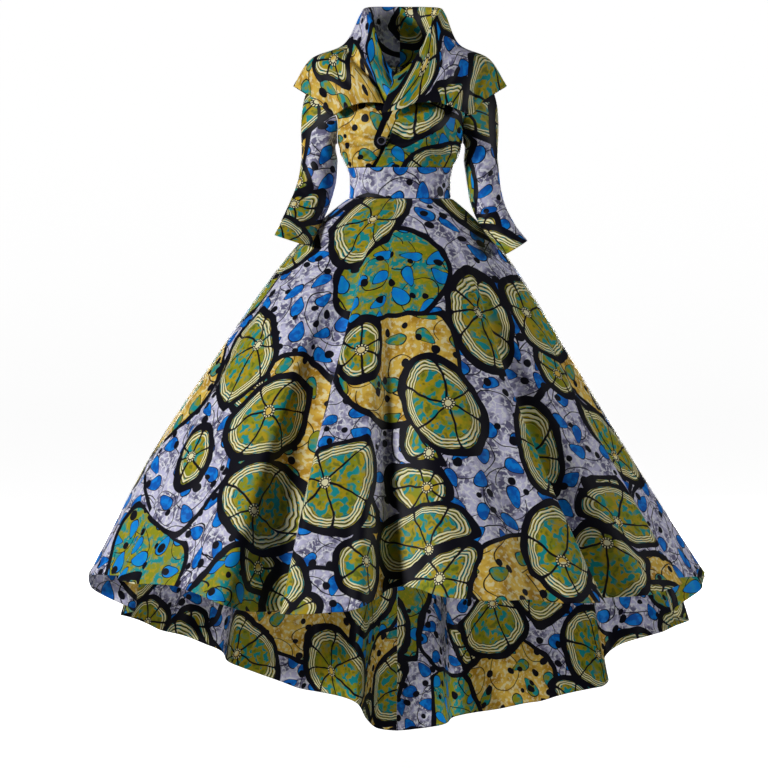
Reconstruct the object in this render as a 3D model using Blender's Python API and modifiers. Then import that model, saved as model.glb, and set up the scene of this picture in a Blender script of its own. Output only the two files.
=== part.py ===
"""Ankara wax print dress: crossed bodice, roll collar, fitted three-quarter sleeves, waistband and a
full skirt with a high-low hem.

Metres, +Z up. The front faces -Y, and +X is the wearer's left. The origin is where the wearer's
shoulders hold the dress: the middle of the neck hole, at the height of the neck ends of the shoulder
seams. Every piece of cloth is a closed wall between an outer grid of points and the same grid moved
in along the surface normal. Azimuths are in degrees about the Z axis: 0 is the centre front, 90 the
wearer's left side and 180 the centre back.
"""

import math

import bmesh
import bpy
import numpy as np
from mathutils import Vector

# ---------------------------------------------------------------------------- driving dimensions

CLOTH = 0.0018  # wall of one layer of the wax print cotton, with its seam allowances
COLLAR_CLOTH = 0.0023  # the collar is cut double
SEAM = 0.0003  # gap between neighbouring pieces
OVERLAP_SINK = 0.0030  # how far the lower front goes inside the upper one where they cross
OVERLAP_FULL, OVERLAP_EASE = 0.016, 0.030  # it is in this far before the edge, over this width

WAIST_Z = -0.279  # the seam between waistband and skirt
BAND_HEIGHT = 0.063
BAND_TOP_Z = WAIST_Z + BAND_HEIGHT
ARMPIT_Z = -0.165
SHOULDER_Z = -0.045  # the shoulder point, where the sleeve seam is highest
NECK_TOP_Z = -0.0015  # the neck end of the shoulder seam
NECK_DROP = 0.034  # depth of the neckline at the centre front
NECK_ROUNDING = 2.2  # exponent of the neckline's curve, higher for a narrower dip
ARMHOLE_DIP = 31.0  # degrees that the armhole cuts into the front and the back at mid height
ARMHOLE_ROUNDING = 0.75  # exponent of the armhole's curve, lower for a squarer one
TORSO_SQUARENESS = 2.25  # exponent of the torso's superelliptic sections
FRONT_COLUMNS, BACK_COLUMNS = 13, 8
BAND_ROWS, BAND_COLUMNS = 4, 9  # of each quarter of the waistband
LOW_ROWS, ARM_ROWS = 5, 8  # rows of a bodice panel below the armpit and up to the shoulder point
OVER_SHOULDER = (-0.0395, -0.0340, -0.0275, -0.0210, -0.0145, -0.0080, -0.0040)  # and above it

# Sections of the bodice and waistband. z: height; side: half width; front and back: depths.
TORSO = [
    # z,     side,   front,  back
    (-0.290, 0.1090, 0.0840, 0.0790),
    (-0.262, 0.1055, 0.0800, 0.0765),
    (-0.240, 0.1060, 0.0810, 0.0770),
    (-0.216, 0.1110, 0.0860, 0.0790),
    (-0.187, 0.1240, 0.1000, 0.0840),
    (-0.165, 0.1300, 0.1100, 0.0890),
    (-0.140, 0.1390, 0.1150, 0.0940),
    (-0.110, 0.1520, 0.1120, 0.0980),
    (-0.080, 0.1660, 0.1020, 0.0990),
    (-0.060, 0.1760, 0.0940, 0.0970),
    (-0.045, 0.1800, 0.0880, 0.0940),
    (-0.033, 0.1620, 0.0830, 0.0890),
    (-0.022, 0.1300, 0.0760, 0.0800),
    (-0.011, 0.0950, 0.0640, 0.0680),
    (0.000, 0.0660, 0.0500, 0.0560),
]
BUST = {"side": 0.062, "z": -0.137, "rise": 0.013, "width": 0.042, "height": 0.040}

# Edge of the upper (wearer's left) front, as its distance from the centre line at each height.
UPPER_FRONT_EDGE = [
    # z,     x
    (-0.230, -0.0600),
    (-0.181, -0.0330),
    (-0.153, -0.0210),
    (-0.097, -0.0060),
    (-0.034, -0.0040),
]
# Edge of the lower front, which runs past the centre line under the upper one.
LOWER_FRONT_EDGE = [
    # z,     x
    (-0.230, 0.0300),
    (-0.100, 0.0300),
    (-0.070, 0.0240),
    (-0.050, 0.0080),
    (-0.034, -0.0040),
]

# Skirt profile: a quick flare over the hip, then a steady one that eases towards a long hem.
HIP_FLARE, HIP_FLARE_DEPTH = 0.063, 0.082
SKIRT_SLOPE, LOW_SLOPE = 0.605, 0.31
LOW_SLOPE_FROM = 0.80
WAIST_CLEAR = 0.0008  # the skirt's seam stands this far outside the waistband's
SWAY, SWAY_HEIGHT = -0.014, 0.90  # the skirt hangs a little to the wearer's right half way down
BILLOW = {"azimuth": -86.0, "width": 24.0, "drop": 0.53, "height": 0.17, "rise": 0.014}

# Height of the hem below the waist seam, going round the skirt.
HEM = [
    # azimuth, drop
    (-180, 1.256),
    (-170, 1.180),
    (-157, 1.120),
    (-142, 1.043),
    (-122, 0.936),
    (-104, 0.880),
    (-90, 0.788),
    (-66, 0.769),
    (-44, 0.764),
    (-24, 0.802),
    (-10, 0.787),
    (4, 0.763),
    (22, 0.773),
    (42, 0.788),
    (66, 0.776),
    (90, 0.785),
    (104, 0.893),
    (118, 0.945),
    (128, 1.000),
    (138, 1.105),
    (148, 1.145),
    (160, 1.190),
    (170, 1.227),
]

# Folds that hang from the waist. Each is a valley between two broad flutes.
# left, right: degrees from its bottom to its rims at the hem; depth: how far in the hem goes;
# over: degrees that one rim closes over it, + for the right rim and - for the left one;
# lift: how much higher the hem is there; start: drop at which the fold begins.
FOLDS = [
    # azimuth, left, right, depth, over, lift,  start
    (-22.5, 12.0, 5.5, 0.128, 2.8, 0.000, 0.07),
    (-1.0, 6.5, 13.0, 0.088, 1.0, 0.014, 0.14),
    (26.0, 7.0, 7.0, 0.030, 0.0, 0.000, 0.24),
    (42.0, 4.5, 11.0, 0.070, -2.2, 0.000, 0.13),
    (-48.0, 8.0, 7.0, 0.022, 0.0, 0.000, 0.30),
    (-70.0, 11.0, 8.0, 0.046, 0.0, 0.000, 0.20),
    (71.0, 8.0, 11.0, 0.044, 0.0, 0.000, 0.22),
    (-105.0, 11.0, 8.0, 0.088, 2.4, 0.000, 0.20),
    (103.0, 7.0, 10.0, 0.078, -2.2, 0.000, 0.20),
    (131.5, 7.0, 8.0, 0.092, -2.0, 0.010, 0.16),
    (168.0, 8.0, 7.0, 0.098, 1.6, 0.020, 0.16),
    (-171.0, 7.0, 8.0, 0.098, -1.6, 0.020, 0.16),
    (-139.0, 9.0, 9.0, 0.082, 2.0, 0.008, 0.20),
]
FOLD_GROWTH = 1.08  # how slowly a fold deepens below its start
RIM_SHARE, RIM_WIDTH = 0.75, 5.0  # where the leaning rim is, and the degrees that lean with it
HEM_COLUMNS = {"front": 72, "back": 40}
SKIRT_ROWS = 10
ROW_CROWDING = 1.15  # above 1 the rows crowd towards the waist

# Sleeves: rings down the arm below the armpit. x and z place the ring's middle as seen from the
# front, y is how far forward it is, across and deep are its half sizes, turn is its tilt.
SLEEVES = {
    "right": {
        "side": -1,
        "rings": [
            # z,     x,      y,       across, deep,   turn
            (-0.200, 0.1685, 0.000, 0.0385, 0.0400, 2.0),
            (-0.239, 0.1725, -0.002, 0.0400, 0.0390, 6.0),
            (-0.276, 0.1825, -0.022, 0.0400, 0.0370, 16.0),
            (-0.312, 0.1970, -0.056, 0.0395, 0.0355, 21.0),
            (-0.341, 0.2095, -0.096, 0.0390, 0.0345, 22.0),
            (-0.3675, 0.2210, -0.132, 0.0385, 0.0340, 18.0),
        ],
    },
    "left": {
        "side": 1,
        "rings": [
            (-0.200, 0.1690, 0.000, 0.0365, 0.0415, 2.0),
            (-0.239, 0.1735, 0.000, 0.0350, 0.0425, 5.0),
            (-0.280, 0.1795, -0.020, 0.0345, 0.0425, 14.0),
            (-0.318, 0.1930, -0.052, 0.0325, 0.0420, 26.0),
            (-0.351, 0.2135, -0.086, 0.0295, 0.0410, 34.0),
            (-0.381, 0.2385, -0.114, 0.0262, 0.0400, 32.0),
        ],
    },
}
SLEEVE_SIDES = 22
CAP_ROWS = 6  # rings from the armhole down to the arm
CAP_LEAVE = (0.62, -0.12)  # out and down, as a share of the column's reach
CAP_ARRIVE = 0.85

# Roll collar: sections round the neck. Each pair is a distance from the Z axis and a height: the
# roll at the top, the base where the fall meets the shoulder, the middle of the fall and its edge.
COLLAR = [
    # azimuth, roll r, roll z, base r, base z, mid r,  mid z,  edge r, edge z
    (-16, 0.1145, -0.038, 0.1265, -0.060, 0.1360, -0.080, 0.1445, -0.107),
    (0, 0.102, -0.020, 0.1150, -0.045, 0.1265, -0.067, 0.1425, -0.098),
    (15, 0.089, 0.000, 0.106, -0.022, 0.121, -0.051, 0.139, -0.085),
    (30, 0.083, 0.028, 0.106, 0.001, 0.128, -0.040, 0.147, -0.084),
    (44, 0.079, 0.055, 0.107, 0.020, 0.141, -0.032, 0.164, -0.096),
    (54, 0.077, 0.074, 0.109, 0.030, 0.151, -0.020, 0.176, -0.108),
    (66, 0.079, 0.094, 0.113, 0.038, 0.166, -0.004, 0.189, -0.078),
    (78, 0.083, 0.106, 0.118, 0.043, 0.181, 0.007, 0.208, -0.057),
    (90, 0.087, 0.113, 0.121, 0.045, 0.188, 0.010, 0.223, -0.045),
    (102, 0.088, 0.118, 0.121, 0.046, 0.182, 0.008, 0.210, -0.055),
    (118, 0.087, 0.122, 0.117, 0.046, 0.163, -0.005, 0.190, -0.080),
    (132, 0.086, 0.124, 0.112, 0.046, 0.148, -0.018, 0.173, -0.104),
    (150, 0.085, 0.126, 0.104, 0.044, 0.128, -0.032, 0.146, -0.118),
    (180, 0.084, 0.127, 0.099, 0.042, 0.118, -0.038, 0.132, -0.125),
]
# Azimuth of the front end of each half, at the neckline and at the edge.
UPPER_END = (-2.0, -15.5)
LOWER_END = (-11.5, 0.0)
# The lower half nests inside the upper one where they cross: how far each curve of its section
# moves out and up, up to the first azimuth and fading out by the second.
NEST = ((0, 0), (-0.002, -0.008), (-0.003, -0.010), (-0.0040, -0.0060), (-0.0065, -0.005),
        (-0.0065, 0), (-0.0065, 0))
NEST_FULL, NEST_GONE = 16.0, 30.0
RIGHT_ROLL_NARROWER = 0.012  # the wearer's right of the collar stands closer to the neck
ROLL_WIDTH = 0.0085  # half width of the roll
TALL_STAND = 0.05  # a stand this tall has a full round roll
COLLAR_BACK = 179.88  # azimuth of the centre back seam
COLLAR_COLUMNS = 25
# How far across the face each curve of a section lies: neckline, roll's inner side, roll, roll's
# outer side, base, middle and edge. The rows of points are closest round the roll.
COLLAR_STATIONS = (0, 0.22, 0.30, 0.38, 0.56, 0.80, 1.0)
COLLAR_ROWS = (0, 0.10, 0.18, 0.23, 0.265, 0.30, 0.335, 0.37, 0.42, 0.50, 0.60, 0.70, 0.80, 0.90, 1)

# Tab and button that close the crossed fronts.
TAB = {"top": (-0.004, -0.092), "bottom": (-0.0405, -0.168), "half_width": 0.0062, "cloth": 0.0016}
BUTTON = {"x": -0.0386, "z": -0.1600, "radius": 0.0095, "rim": 0.0040, "well": 0.0024}
BUTTON_STEPS = 28
BUTTON_GAPS = 3  # seam gaps under the flat back of the button
TAB_ROWS, TAB_COLUMNS, TAB_TIP = 9, 3, 0.12

# name, colour, roughness
FINISHES = {
    "wax_print": ((0.30, 0.33, 0.22, 1.0), 0.62),
    "button_black": ((0.015, 0.015, 0.020, 1.0), 0.28),
}

# ---------------------------------------------------------------------------- curves and surfaces


def curve(table, column, at, period=None):
    """The table's column as a smooth curve over its first column, read at each value of at."""
    rows = np.array(table, float)
    if period:
        rows = np.concatenate([rows - np.eye(1, rows.shape[1]) * period, rows,
                               rows + np.eye(1, rows.shape[1]) * period])
    x, y = rows[:, 0], rows[:, column]
    at = np.clip(np.asarray(at, float), x[0], x[-1])
    step = np.diff(y) / np.diff(x)
    slope = np.zeros_like(y)
    slope[0], slope[-1] = step[0], step[-1]
    same_way = step[:-1] * step[1:] > 0
    slope[1:-1] = np.where(
        same_way, 2 * step[:-1] * step[1:] / np.where(same_way, step[:-1] + step[1:], 1), 0
    )
    i = np.clip(np.searchsorted(x, at, side="right") - 1, 0, len(x) - 2)
    wide = x[i + 1] - x[i]
    s = (at - x[i]) / wide
    return (
        y[i] * (1 + 2 * s) * (1 - s) ** 2
        + slope[i] * wide * s * (1 - s) ** 2
        + y[i + 1] * s * s * (3 - 2 * s)
        + slope[i + 1] * wide * s * s * (s - 1)
    )


def ease(x):
    """0 below 0, 1 above 1 and smooth between."""
    x = np.clip(x, 0, 1)
    return x * x * (3 - 2 * x)


def normals(point, a, b, step=1e-3):
    """Unit normals of the surface point(a, b), from its slopes along a and b."""
    along = point(a + step, b) - point(a - step, b)
    across = point(a, b + step) - point(a, b - step)
    found = np.cross(along, across)
    return found / np.linalg.norm(found, axis=-1, keepdims=True)


def torso(azimuth, z):
    """Point of the bodice and waistband surface."""
    angle = np.radians(azimuth)
    power = 2 / TORSO_SQUARENESS
    sine, cosine = np.sin(angle), np.cos(angle)
    depth = np.where(cosine > 0, curve(TORSO, 2, z), curve(TORSO, 3, z))
    x = curve(TORSO, 1, z) * np.sign(sine) * np.abs(sine) ** power
    y = -depth * np.sign(cosine) * np.abs(cosine) ** power
    lift = np.zeros_like(x)
    for side in (-1, 1):
        lift += BUST["rise"] * np.exp(
            -(((x - side * BUST["side"]) / BUST["width"]) ** 2)
            - ((z - BUST["z"]) / BUST["height"]) ** 2
        )
    y = y - lift * ease(cosine * 3)
    return np.stack([x, y, z + 0 * x], axis=-1)


def torso_outward(azimuth, z):
    """Outward unit normals, facing away from the Z axis or, on the shoulders, up."""
    found = normals(torso, azimuth, z, 5e-4)
    out = torso(azimuth, z) * np.array([1.0, 1.0, 0.0])
    out[..., 2] += 0.02
    flip = np.sign((found * out).sum(-1, keepdims=True))
    return found * np.where(flip == 0, 1, flip)


def neckline_z(azimuth):
    """Height of the neckline: lowest at the centre front, level from the sides to the back."""
    front = np.clip(np.cos(np.radians(azimuth)), 0, 1)
    return NECK_TOP_Z - NECK_DROP * front**NECK_ROUNDING


def neckline_azimuth(z):
    """Where the neckline crosses a height, from the centre front."""
    share = np.clip((NECK_TOP_Z - z) / NECK_DROP, 0, 1)
    return np.degrees(np.arccos(share ** (1 / NECK_ROUNDING)))


def armhole_cut(z):
    """Degrees that the armhole takes out of the front or the back at a height."""
    share = np.clip((z - ARMPIT_Z) / (SHOULDER_Z - ARMPIT_Z), 0, 1)
    return ARMHOLE_DIP * np.sin(math.pi * share) ** ARMHOLE_ROUNDING


def azimuth_at(x, z):
    """Azimuth on the bodice's front at a distance x from the centre line."""
    share = np.clip(np.abs(x) / curve(TORSO, 1, z), 0, 1)
    sine = share ** (TORSO_SQUARENESS / 2)
    return np.sign(x) * np.degrees(np.arcsin(sine))


def away_from(azimuth, middle):
    """Degrees from the middle to an azimuth, the short way round."""
    return (azimuth - middle + 180) % 360 - 180


def valley(away, left, right):
    """Cross-section of a fold: 1 at its bottom and 0 from its rims outwards."""
    share = np.clip(np.where(away < 0, -away / left, away / right), 0, 1)
    return 0.5 + 0.5 * np.cos(math.pi * share)


def hem_drop(azimuth):
    """Height of the hem below the waist seam, folds included."""
    drop = curve(HEM, 1, azimuth, 360)
    for middle, left, right, _, _, lift, _ in FOLDS:
        drop = drop - lift * valley(away_from(azimuth, middle), left, right)
    return drop


def flare(drop):
    """How far outside the waist the flutes reach at a drop below it."""
    low = np.maximum(drop - LOW_SLOPE_FROM, 0)
    return (
        HIP_FLARE * (1 - np.exp(-drop / HIP_FLARE_DEPTH))
        + SKIRT_SLOPE * (drop - low)
        + LOW_SLOPE * low
    )


def waist_radius(azimuth):
    """Distance of the waist seam from the Z axis in a direction."""
    angle = np.radians(azimuth)
    side, front, back = (float(curve(TORSO, column, WAIST_Z)) for column in (1, 2, 3))
    depth = np.where(np.cos(angle) > 0, front, back)
    power = TORSO_SQUARENESS
    parts = np.abs(np.sin(angle) / side) ** power + np.abs(np.cos(angle) / depth) ** power
    return parts ** (-1 / power)


def billow(azimuth, drop):
    away = away_from(azimuth, BILLOW["azimuth"]) / BILLOW["width"]
    return BILLOW["rise"] * np.exp(-(away**2) - ((drop - BILLOW["drop"]) / BILLOW["height"]) ** 2)


def skirt(azimuth, down):
    """Point of the skirt's surface: down runs from 0 at the waist seam to 1 at the hem."""
    azimuth, down = np.broadcast_arrays(np.asarray(azimuth, float), np.asarray(down, float))
    drop = hem_drop(azimuth) * down
    radius = waist_radius(azimuth) + WAIST_CLEAR + flare(drop) + billow(azimuth, drop)
    turned = np.radians(azimuth)
    for middle, left, right, depth, over, _, start in FOLDS:
        away = away_from(azimuth, middle)
        length = curve(HEM, 1, middle, 360) - start
        grown = np.clip((drop - start) / length, 0, None) ** FOLD_GROWTH
        radius = radius - depth * grown * valley(away, left, right)
        rim = RIM_SHARE * (right if over > 0 else -left)
        turned = turned - math.radians(over) * grown * valley(away - rim, RIM_WIDTH, RIM_WIDTH)
    sway = SWAY * np.sin(math.pi * np.clip(drop / SWAY_HEIGHT, 0, 1))
    return np.stack(
        [radius * np.sin(turned) + sway, -radius * np.cos(turned), WAIST_Z - drop], axis=-1
    )


def hem_azimuths(start, end, count):
    """Azimuths from start to end, equally spaced along the hem's own line."""
    fine = np.linspace(start, end, 1441)
    line = skirt(fine, 1.0)
    along = np.concatenate([[0], np.cumsum(np.linalg.norm(np.diff(line, axis=0), axis=1))])
    return np.interp(np.linspace(0, along[-1], count + 1), along, fine)


def collar(side, azimuth, share):
    """Point of the collar's face: share runs from 0 at the neckline, over the roll, to 1 at the edge."""
    azimuth, share = np.broadcast_arrays(np.asarray(azimuth, float), np.asarray(share, float))
    read = [curve(COLLAR, column, azimuth) for column in range(1, 9)]
    roll_r, roll_z, base_r, base_z, mid_r, mid_z, edge_r, edge_z = read
    if side < 0:
        narrow = RIGHT_ROLL_NARROWER * ease((azimuth - 20) / 50) * ease((165 - azimuth) / 50)
        roll_r = roll_r - narrow
        base_r = base_r - narrow * 0.5
    neck = torso(azimuth, neckline_z(azimuth))
    neck_r, neck_z = np.linalg.norm(neck[..., :2], axis=-1), neck[..., 2] + 2 * SEAM
    rise = roll_z - neck_z
    tall = ease(rise / TALL_STAND)
    inner_r = roll_r - ROLL_WIDTH * (1.2 - 0.45 * tall)
    inner_z = roll_z - np.minimum(ROLL_WIDTH * 1.45, rise * 0.45)
    outer_r = roll_r + ROLL_WIDTH * (0.75 + 0.25 * tall)
    outer_z = roll_z - ROLL_WIDTH * (0.5 + 0.95 * tall)
    stations = np.array(COLLAR_STATIONS)
    radii = np.stack([neck_r, inner_r, roll_r, outer_r, base_r, mid_r, edge_r], axis=-1)
    heights = np.stack([neck_z, inner_z, roll_z, outer_z, base_z, mid_z, edge_z], axis=-1)
    if side < 0:
        nest = 1 - ease((azimuth[..., None] - NEST_FULL) / (NEST_GONE - NEST_FULL))
        moved = np.array(NEST)
        radii, heights = radii + nest * moved[:, 0], heights + nest * moved[:, 1]
    radius, height = along_spline(stations, radii, share), along_spline(stations, heights, share)
    angle = np.radians(azimuth)
    return np.stack([side * radius * np.sin(angle), -radius * np.cos(angle), height], axis=-1)


def along_spline(stations, values, at):
    """Catmull-Rom curve through values (..., n) at the stations, read at each value of at."""
    slopes = np.gradient(values, stations, axis=-1)
    at = np.clip(at, 0, 1)
    i = np.clip(np.searchsorted(stations, at, side="right") - 1, 0, len(stations) - 2)
    wide = stations[i + 1] - stations[i]
    s = (at - stations[i]) / wide

    def pick(array, index):
        return np.take_along_axis(array, index[..., None], axis=-1)[..., 0]

    return (
        pick(values, i) * (1 + 2 * s) * (1 - s) ** 2
        + pick(slopes, i) * wide * s * (1 - s) ** 2
        + pick(values, i + 1) * s * s * (3 - 2 * s)
        + pick(slopes, i + 1) * wide * s * s * (s - 1)
    )


# ---------------------------------------------------------------------------- making objects


def clear_scene():
    for old in list(bpy.data.objects):
        bpy.data.objects.remove(old, do_unlink=True)


def finish_of(name):
    found = bpy.data.materials.get(name)
    if found:
        return found
    colour, roughness = FINISHES[name]
    made = bpy.data.materials.new(name)
    made.use_nodes = True
    shader = made.node_tree.nodes["Principled BSDF"]
    shader.inputs["Base Color"].default_value = colour
    shader.inputs["Roughness"].default_value = roughness
    shader.inputs["Metallic"].default_value = 0.0
    made.diffuse_color = colour
    return made


def add_object(name, mesh, finish, collection):
    mesh.materials.append(finish_of(finish))
    made = bpy.data.objects.new(name, mesh)
    collection.objects.link(made)
    return made


def wall(name, outer, inner, collection, wrap=False, finish="wax_print"):
    """A closed wall of cloth between two grids of points. wrap joins the last column to the first."""
    rows, columns = outer.shape[:2]
    layer = rows * columns
    across = columns if wrap else columns - 1

    def at(side, i, j):
        return side * layer + i * columns + j % columns

    faces = []
    for i in range(rows - 1):
        for j in range(across):
            corners = [(i, j), (i, j + 1), (i + 1, j + 1), (i + 1, j)]
            faces.append([at(0, *c) for c in corners])
            faces.append([at(1, *c) for c in reversed(corners)])
    for i, turn in ((0, 1), (rows - 1, -1)):
        for j in range(across):
            rim = [at(0, i, j), at(1, i, j), at(1, i, j + 1), at(0, i, j + 1)]
            faces.append(rim[::turn])
    if not wrap:
        for j, turn in ((0, -1), (columns - 1, 1)):
            for i in range(rows - 1):
                rim = [at(0, i, j), at(1, i, j), at(1, i + 1, j), at(0, i + 1, j)]
                faces.append(rim[::turn])
    mesh = bpy.data.meshes.new(name)
    points = np.concatenate([outer.reshape(-1, 3), inner.reshape(-1, 3)])
    mesh.from_pydata(points.tolist(), [], faces)
    face_outwards(mesh)
    mesh.shade_smooth()
    mesh.set_sharp_from_angle(angle=math.radians(50))
    return add_object(name, mesh, finish, collection)


def face_outwards(mesh):
    work = bmesh.new()
    work.from_mesh(mesh)
    bmesh.ops.recalc_face_normals(work, faces=work.faces)
    work.to_mesh(mesh)
    work.free()


def panel(azimuths, heights):
    """Outer points and outward normals of a bodice panel from grids of azimuths and heights."""
    return torso(azimuths, heights), torso_outward(azimuths, heights)


def spaced(start, end, count):
    """A row of columns between two edges given at each row."""
    share = np.linspace(0, 1, count + 1)
    return start[:, None] + (end - start)[:, None] * share[None, :]


# ---------------------------------------------------------------------------- bodice


def bodice_heights():
    """Rows of a bodice panel: even up to the shoulder point, then closer over the shoulder."""
    low = np.linspace(BAND_TOP_Z + SEAM, ARMPIT_Z, LOW_ROWS)
    arm = np.linspace(ARMPIT_Z, SHOULDER_Z, ARM_ROWS)[1:]
    return np.concatenate([low, arm, OVER_SHOULDER, [NECK_TOP_Z]])


def seam_degrees(heights):
    """Half the seam gap as degrees round the bodice."""
    return np.degrees(SEAM * 0.75 / curve(TORSO, 1, heights))


def bodice_front(collection):
    heights = bodice_heights()
    side = 90 - armhole_cut(heights) - seam_degrees(heights)
    neck = neckline_azimuth(heights)
    grid = np.repeat(heights[:, None], FRONT_COLUMNS + 1, axis=1)
    at_neck = heights > NECK_TOP_Z - NECK_DROP

    edge = curve(UPPER_FRONT_EDGE, 1, heights)
    start = np.where(at_neck, neck, azimuth_at(edge, heights))
    azimuths = spaced(np.minimum(start, side - 3), side, FRONT_COLUMNS)
    points, out = panel(azimuths, grid)
    wall("bodice_front_left", points, points - out * CLOTH, collection)

    reach = curve(LOWER_FRONT_EDGE, 1, heights)
    start = np.where(at_neck, -neck, azimuth_at(reach, heights))
    azimuths = spaced(np.maximum(start, 3 - side), -side, FRONT_COLUMNS)
    points, out = panel(azimuths, grid)
    under = (points[..., 0] - edge[:, None] + OVERLAP_FULL) / OVERLAP_EASE + 1
    points = points - out * (OVERLAP_SINK * ease(under))[..., None]
    wall("bodice_front_right", points, points - out * CLOTH, collection)


def bodice_back(collection):
    heights = bodice_heights()
    side = 90 + armhole_cut(heights) + seam_degrees(heights)
    grid = np.repeat(heights[:, None], BACK_COLUMNS + 1, axis=1)
    middle = np.degrees(SEAM / 2 / np.maximum(curve(TORSO, 3, heights), 0.05))
    for name, sign in (("bodice_back_left", 1), ("bodice_back_right", -1)):
        azimuths = sign * spaced(side, 180 - middle, BACK_COLUMNS)
        points, out = panel(azimuths, grid)
        wall(name, points, points - out * CLOTH, collection)


def waistband(collection):
    heights = np.linspace(WAIST_Z, BAND_TOP_Z - SEAM, BAND_ROWS + 1)
    gap = seam_degrees(heights)
    spans = {
        "waistband_front": (-90 + gap, 90 - gap, 2 * BAND_COLUMNS),
        "waistband_back_left": (90 + gap, 180 - gap, BAND_COLUMNS),
        "waistband_back_right": (-90 - gap, -180 + gap, BAND_COLUMNS),
    }
    for name, (start, end, count) in spans.items():
        azimuths = spaced(start, end, count)
        grid = np.repeat(heights[:, None], count + 1, axis=1)
        points, out = panel(azimuths, grid)
        wall(name, points, points - out * CLOTH, collection)


# ---------------------------------------------------------------------------- skirt


def skirt_panels(collection):
    down = np.linspace(0, 1, SKIRT_ROWS + 1) ** ROW_CROWDING
    down = down + (1 - down) * SEAM
    spans = {
        "skirt_front": (-90, 90, HEM_COLUMNS["front"]),
        "skirt_back_left": (90, 180, HEM_COLUMNS["back"]),
        "skirt_back_right": (-180, -90, HEM_COLUMNS["back"]),
    }
    for name, (start, end, count) in spans.items():
        middle = (start + end) / 2
        rows = np.repeat(down[:, None], count + 1, axis=1)
        radius = waist_radius(middle) + flare(curve(HEM, 1, middle) * down)
        gap = np.degrees(SEAM / 2 / radius)[:, None]
        grid = middle + (hem_azimuths(start, end, count) - middle) * (1 - 2 * gap / (end - start))
        points = skirt(grid, rows)
        out = normals(lambda a, b: skirt(a * 60, b), grid / 60, rows)
        away = (out[..., :2] * points[..., :2]).sum(-1).mean()
        wall(name, points, points - out * math.copysign(CLOTH, away), collection)


# ---------------------------------------------------------------------------- sleeves


def armhole_ring(side):
    """The sleeve's seam line, from the armpit up the front to the shoulder point and down the back."""
    turn = np.linspace(0, 2 * math.pi, SLEEVE_SIDES, endpoint=False)
    share = 0.5 - 0.5 * np.cos(turn)
    z = ARMPIT_Z + (SHOULDER_Z - ARMPIT_Z) * share
    front = turn < math.pi
    azimuth = np.where(front, 90 - armhole_cut(z), 90 + armhole_cut(z))
    ring = torso(azimuth, z)
    ring[:, 0] += 2.5 * SEAM
    return ring * np.array([side, 1, 1]), turn


def arm_rings(side, rows, turn):
    """Rings of points down the arm, each tilted about the front-to-back line."""
    rings = []
    for z, x, y, across, deep, tilt in rows:
        lean = math.radians(tilt)
        out = -across * np.cos(turn)
        ring = [side * (x + out * math.cos(lean)), y - deep * np.sin(turn), z + out * math.sin(lean)]
        rings.append(np.stack(ring, axis=-1))
    return np.array(rings)


def cap_rings(side, seam, first):
    """The head of the sleeve: each column leaves the armhole outwards and comes down on the arm."""
    reach = np.linalg.norm(first - seam, axis=-1, keepdims=True)
    leave = reach * np.array([side * CAP_LEAVE[0], 0.0, CAP_LEAVE[1]])
    arrive = reach * np.array([0.0, 0.0, -CAP_ARRIVE])
    rings = []
    for s in np.linspace(0, 1, CAP_ROWS + 1)[:-1]:
        rings.append(
            seam * (1 + 2 * s) * (1 - s) ** 2
            + leave * s * (1 - s) ** 2
            + first * s * s * (3 - 2 * s)
            + arrive * s * s * (s - 1)
        )
    return np.array(rings)


def refine_rings(rings, between):
    """More rings between the given ones, on smooth lines down the sleeve."""
    count = len(rings)
    stations = np.linspace(0, 1, count)
    at = np.linspace(0, 1, (count - 1) * between + 1)
    values = np.moveaxis(rings, 0, -1)
    made = [along_spline(stations, values, np.full(values.shape[:-1], a)) for a in at]
    return np.array(made)


def sleeves(collection):
    for name, sleeve in SLEEVES.items():
        seam, turn = armhole_ring(sleeve["side"])
        arm = refine_rings(arm_rings(sleeve["side"], sleeve["rings"], turn), 2)
        rings = np.concatenate([cap_rings(sleeve["side"], seam, arm[0]), arm])
        middles = rings.mean(axis=1, keepdims=True)
        towards = middles - rings
        along = np.gradient(middles, axis=0)
        along /= np.linalg.norm(along, axis=-1, keepdims=True)
        towards = towards - (towards * along).sum(-1, keepdims=True) * along
        towards /= np.linalg.norm(towards, axis=-1, keepdims=True)
        wall("sleeve_" + name, rings, rings + towards * CLOTH, collection, wrap=True)


# ---------------------------------------------------------------------------- collar


def collar_half(name, side, ends, collection):
    """One half of the collar, from its slanting front end to the centre back seam."""
    share = np.array(COLLAR_ROWS)
    across = np.linspace(0, 1, COLLAR_COLUMNS + 1)
    start = side * (ends[0] + (ends[1] - ends[0]) * share)
    azimuth = start[:, None] + (COLLAR_BACK - start)[:, None] * across[None, :]
    rows = np.repeat(share[:, None], COLLAR_COLUMNS + 1, axis=1)
    points = collar(side, azimuth, rows)
    out = -side * normals(lambda a, b: collar(side, a * 60, b), azimuth / 60, rows)
    wall(name, points, points - out * COLLAR_CLOTH, collection)


def collar_halves(collection):
    collar_half("collar_left", 1, UPPER_END, collection)
    collar_half("collar_right", -1, LOWER_END, collection)


# ---------------------------------------------------------------------------- tab and button


def on_front(x, z):
    """Point and normal on the outer face of the closed fronts."""
    z = np.asarray(z, float)
    azimuth = azimuth_at(np.asarray(x, float), z)
    return torso(azimuth, z), torso_outward(azimuth, z)


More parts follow.
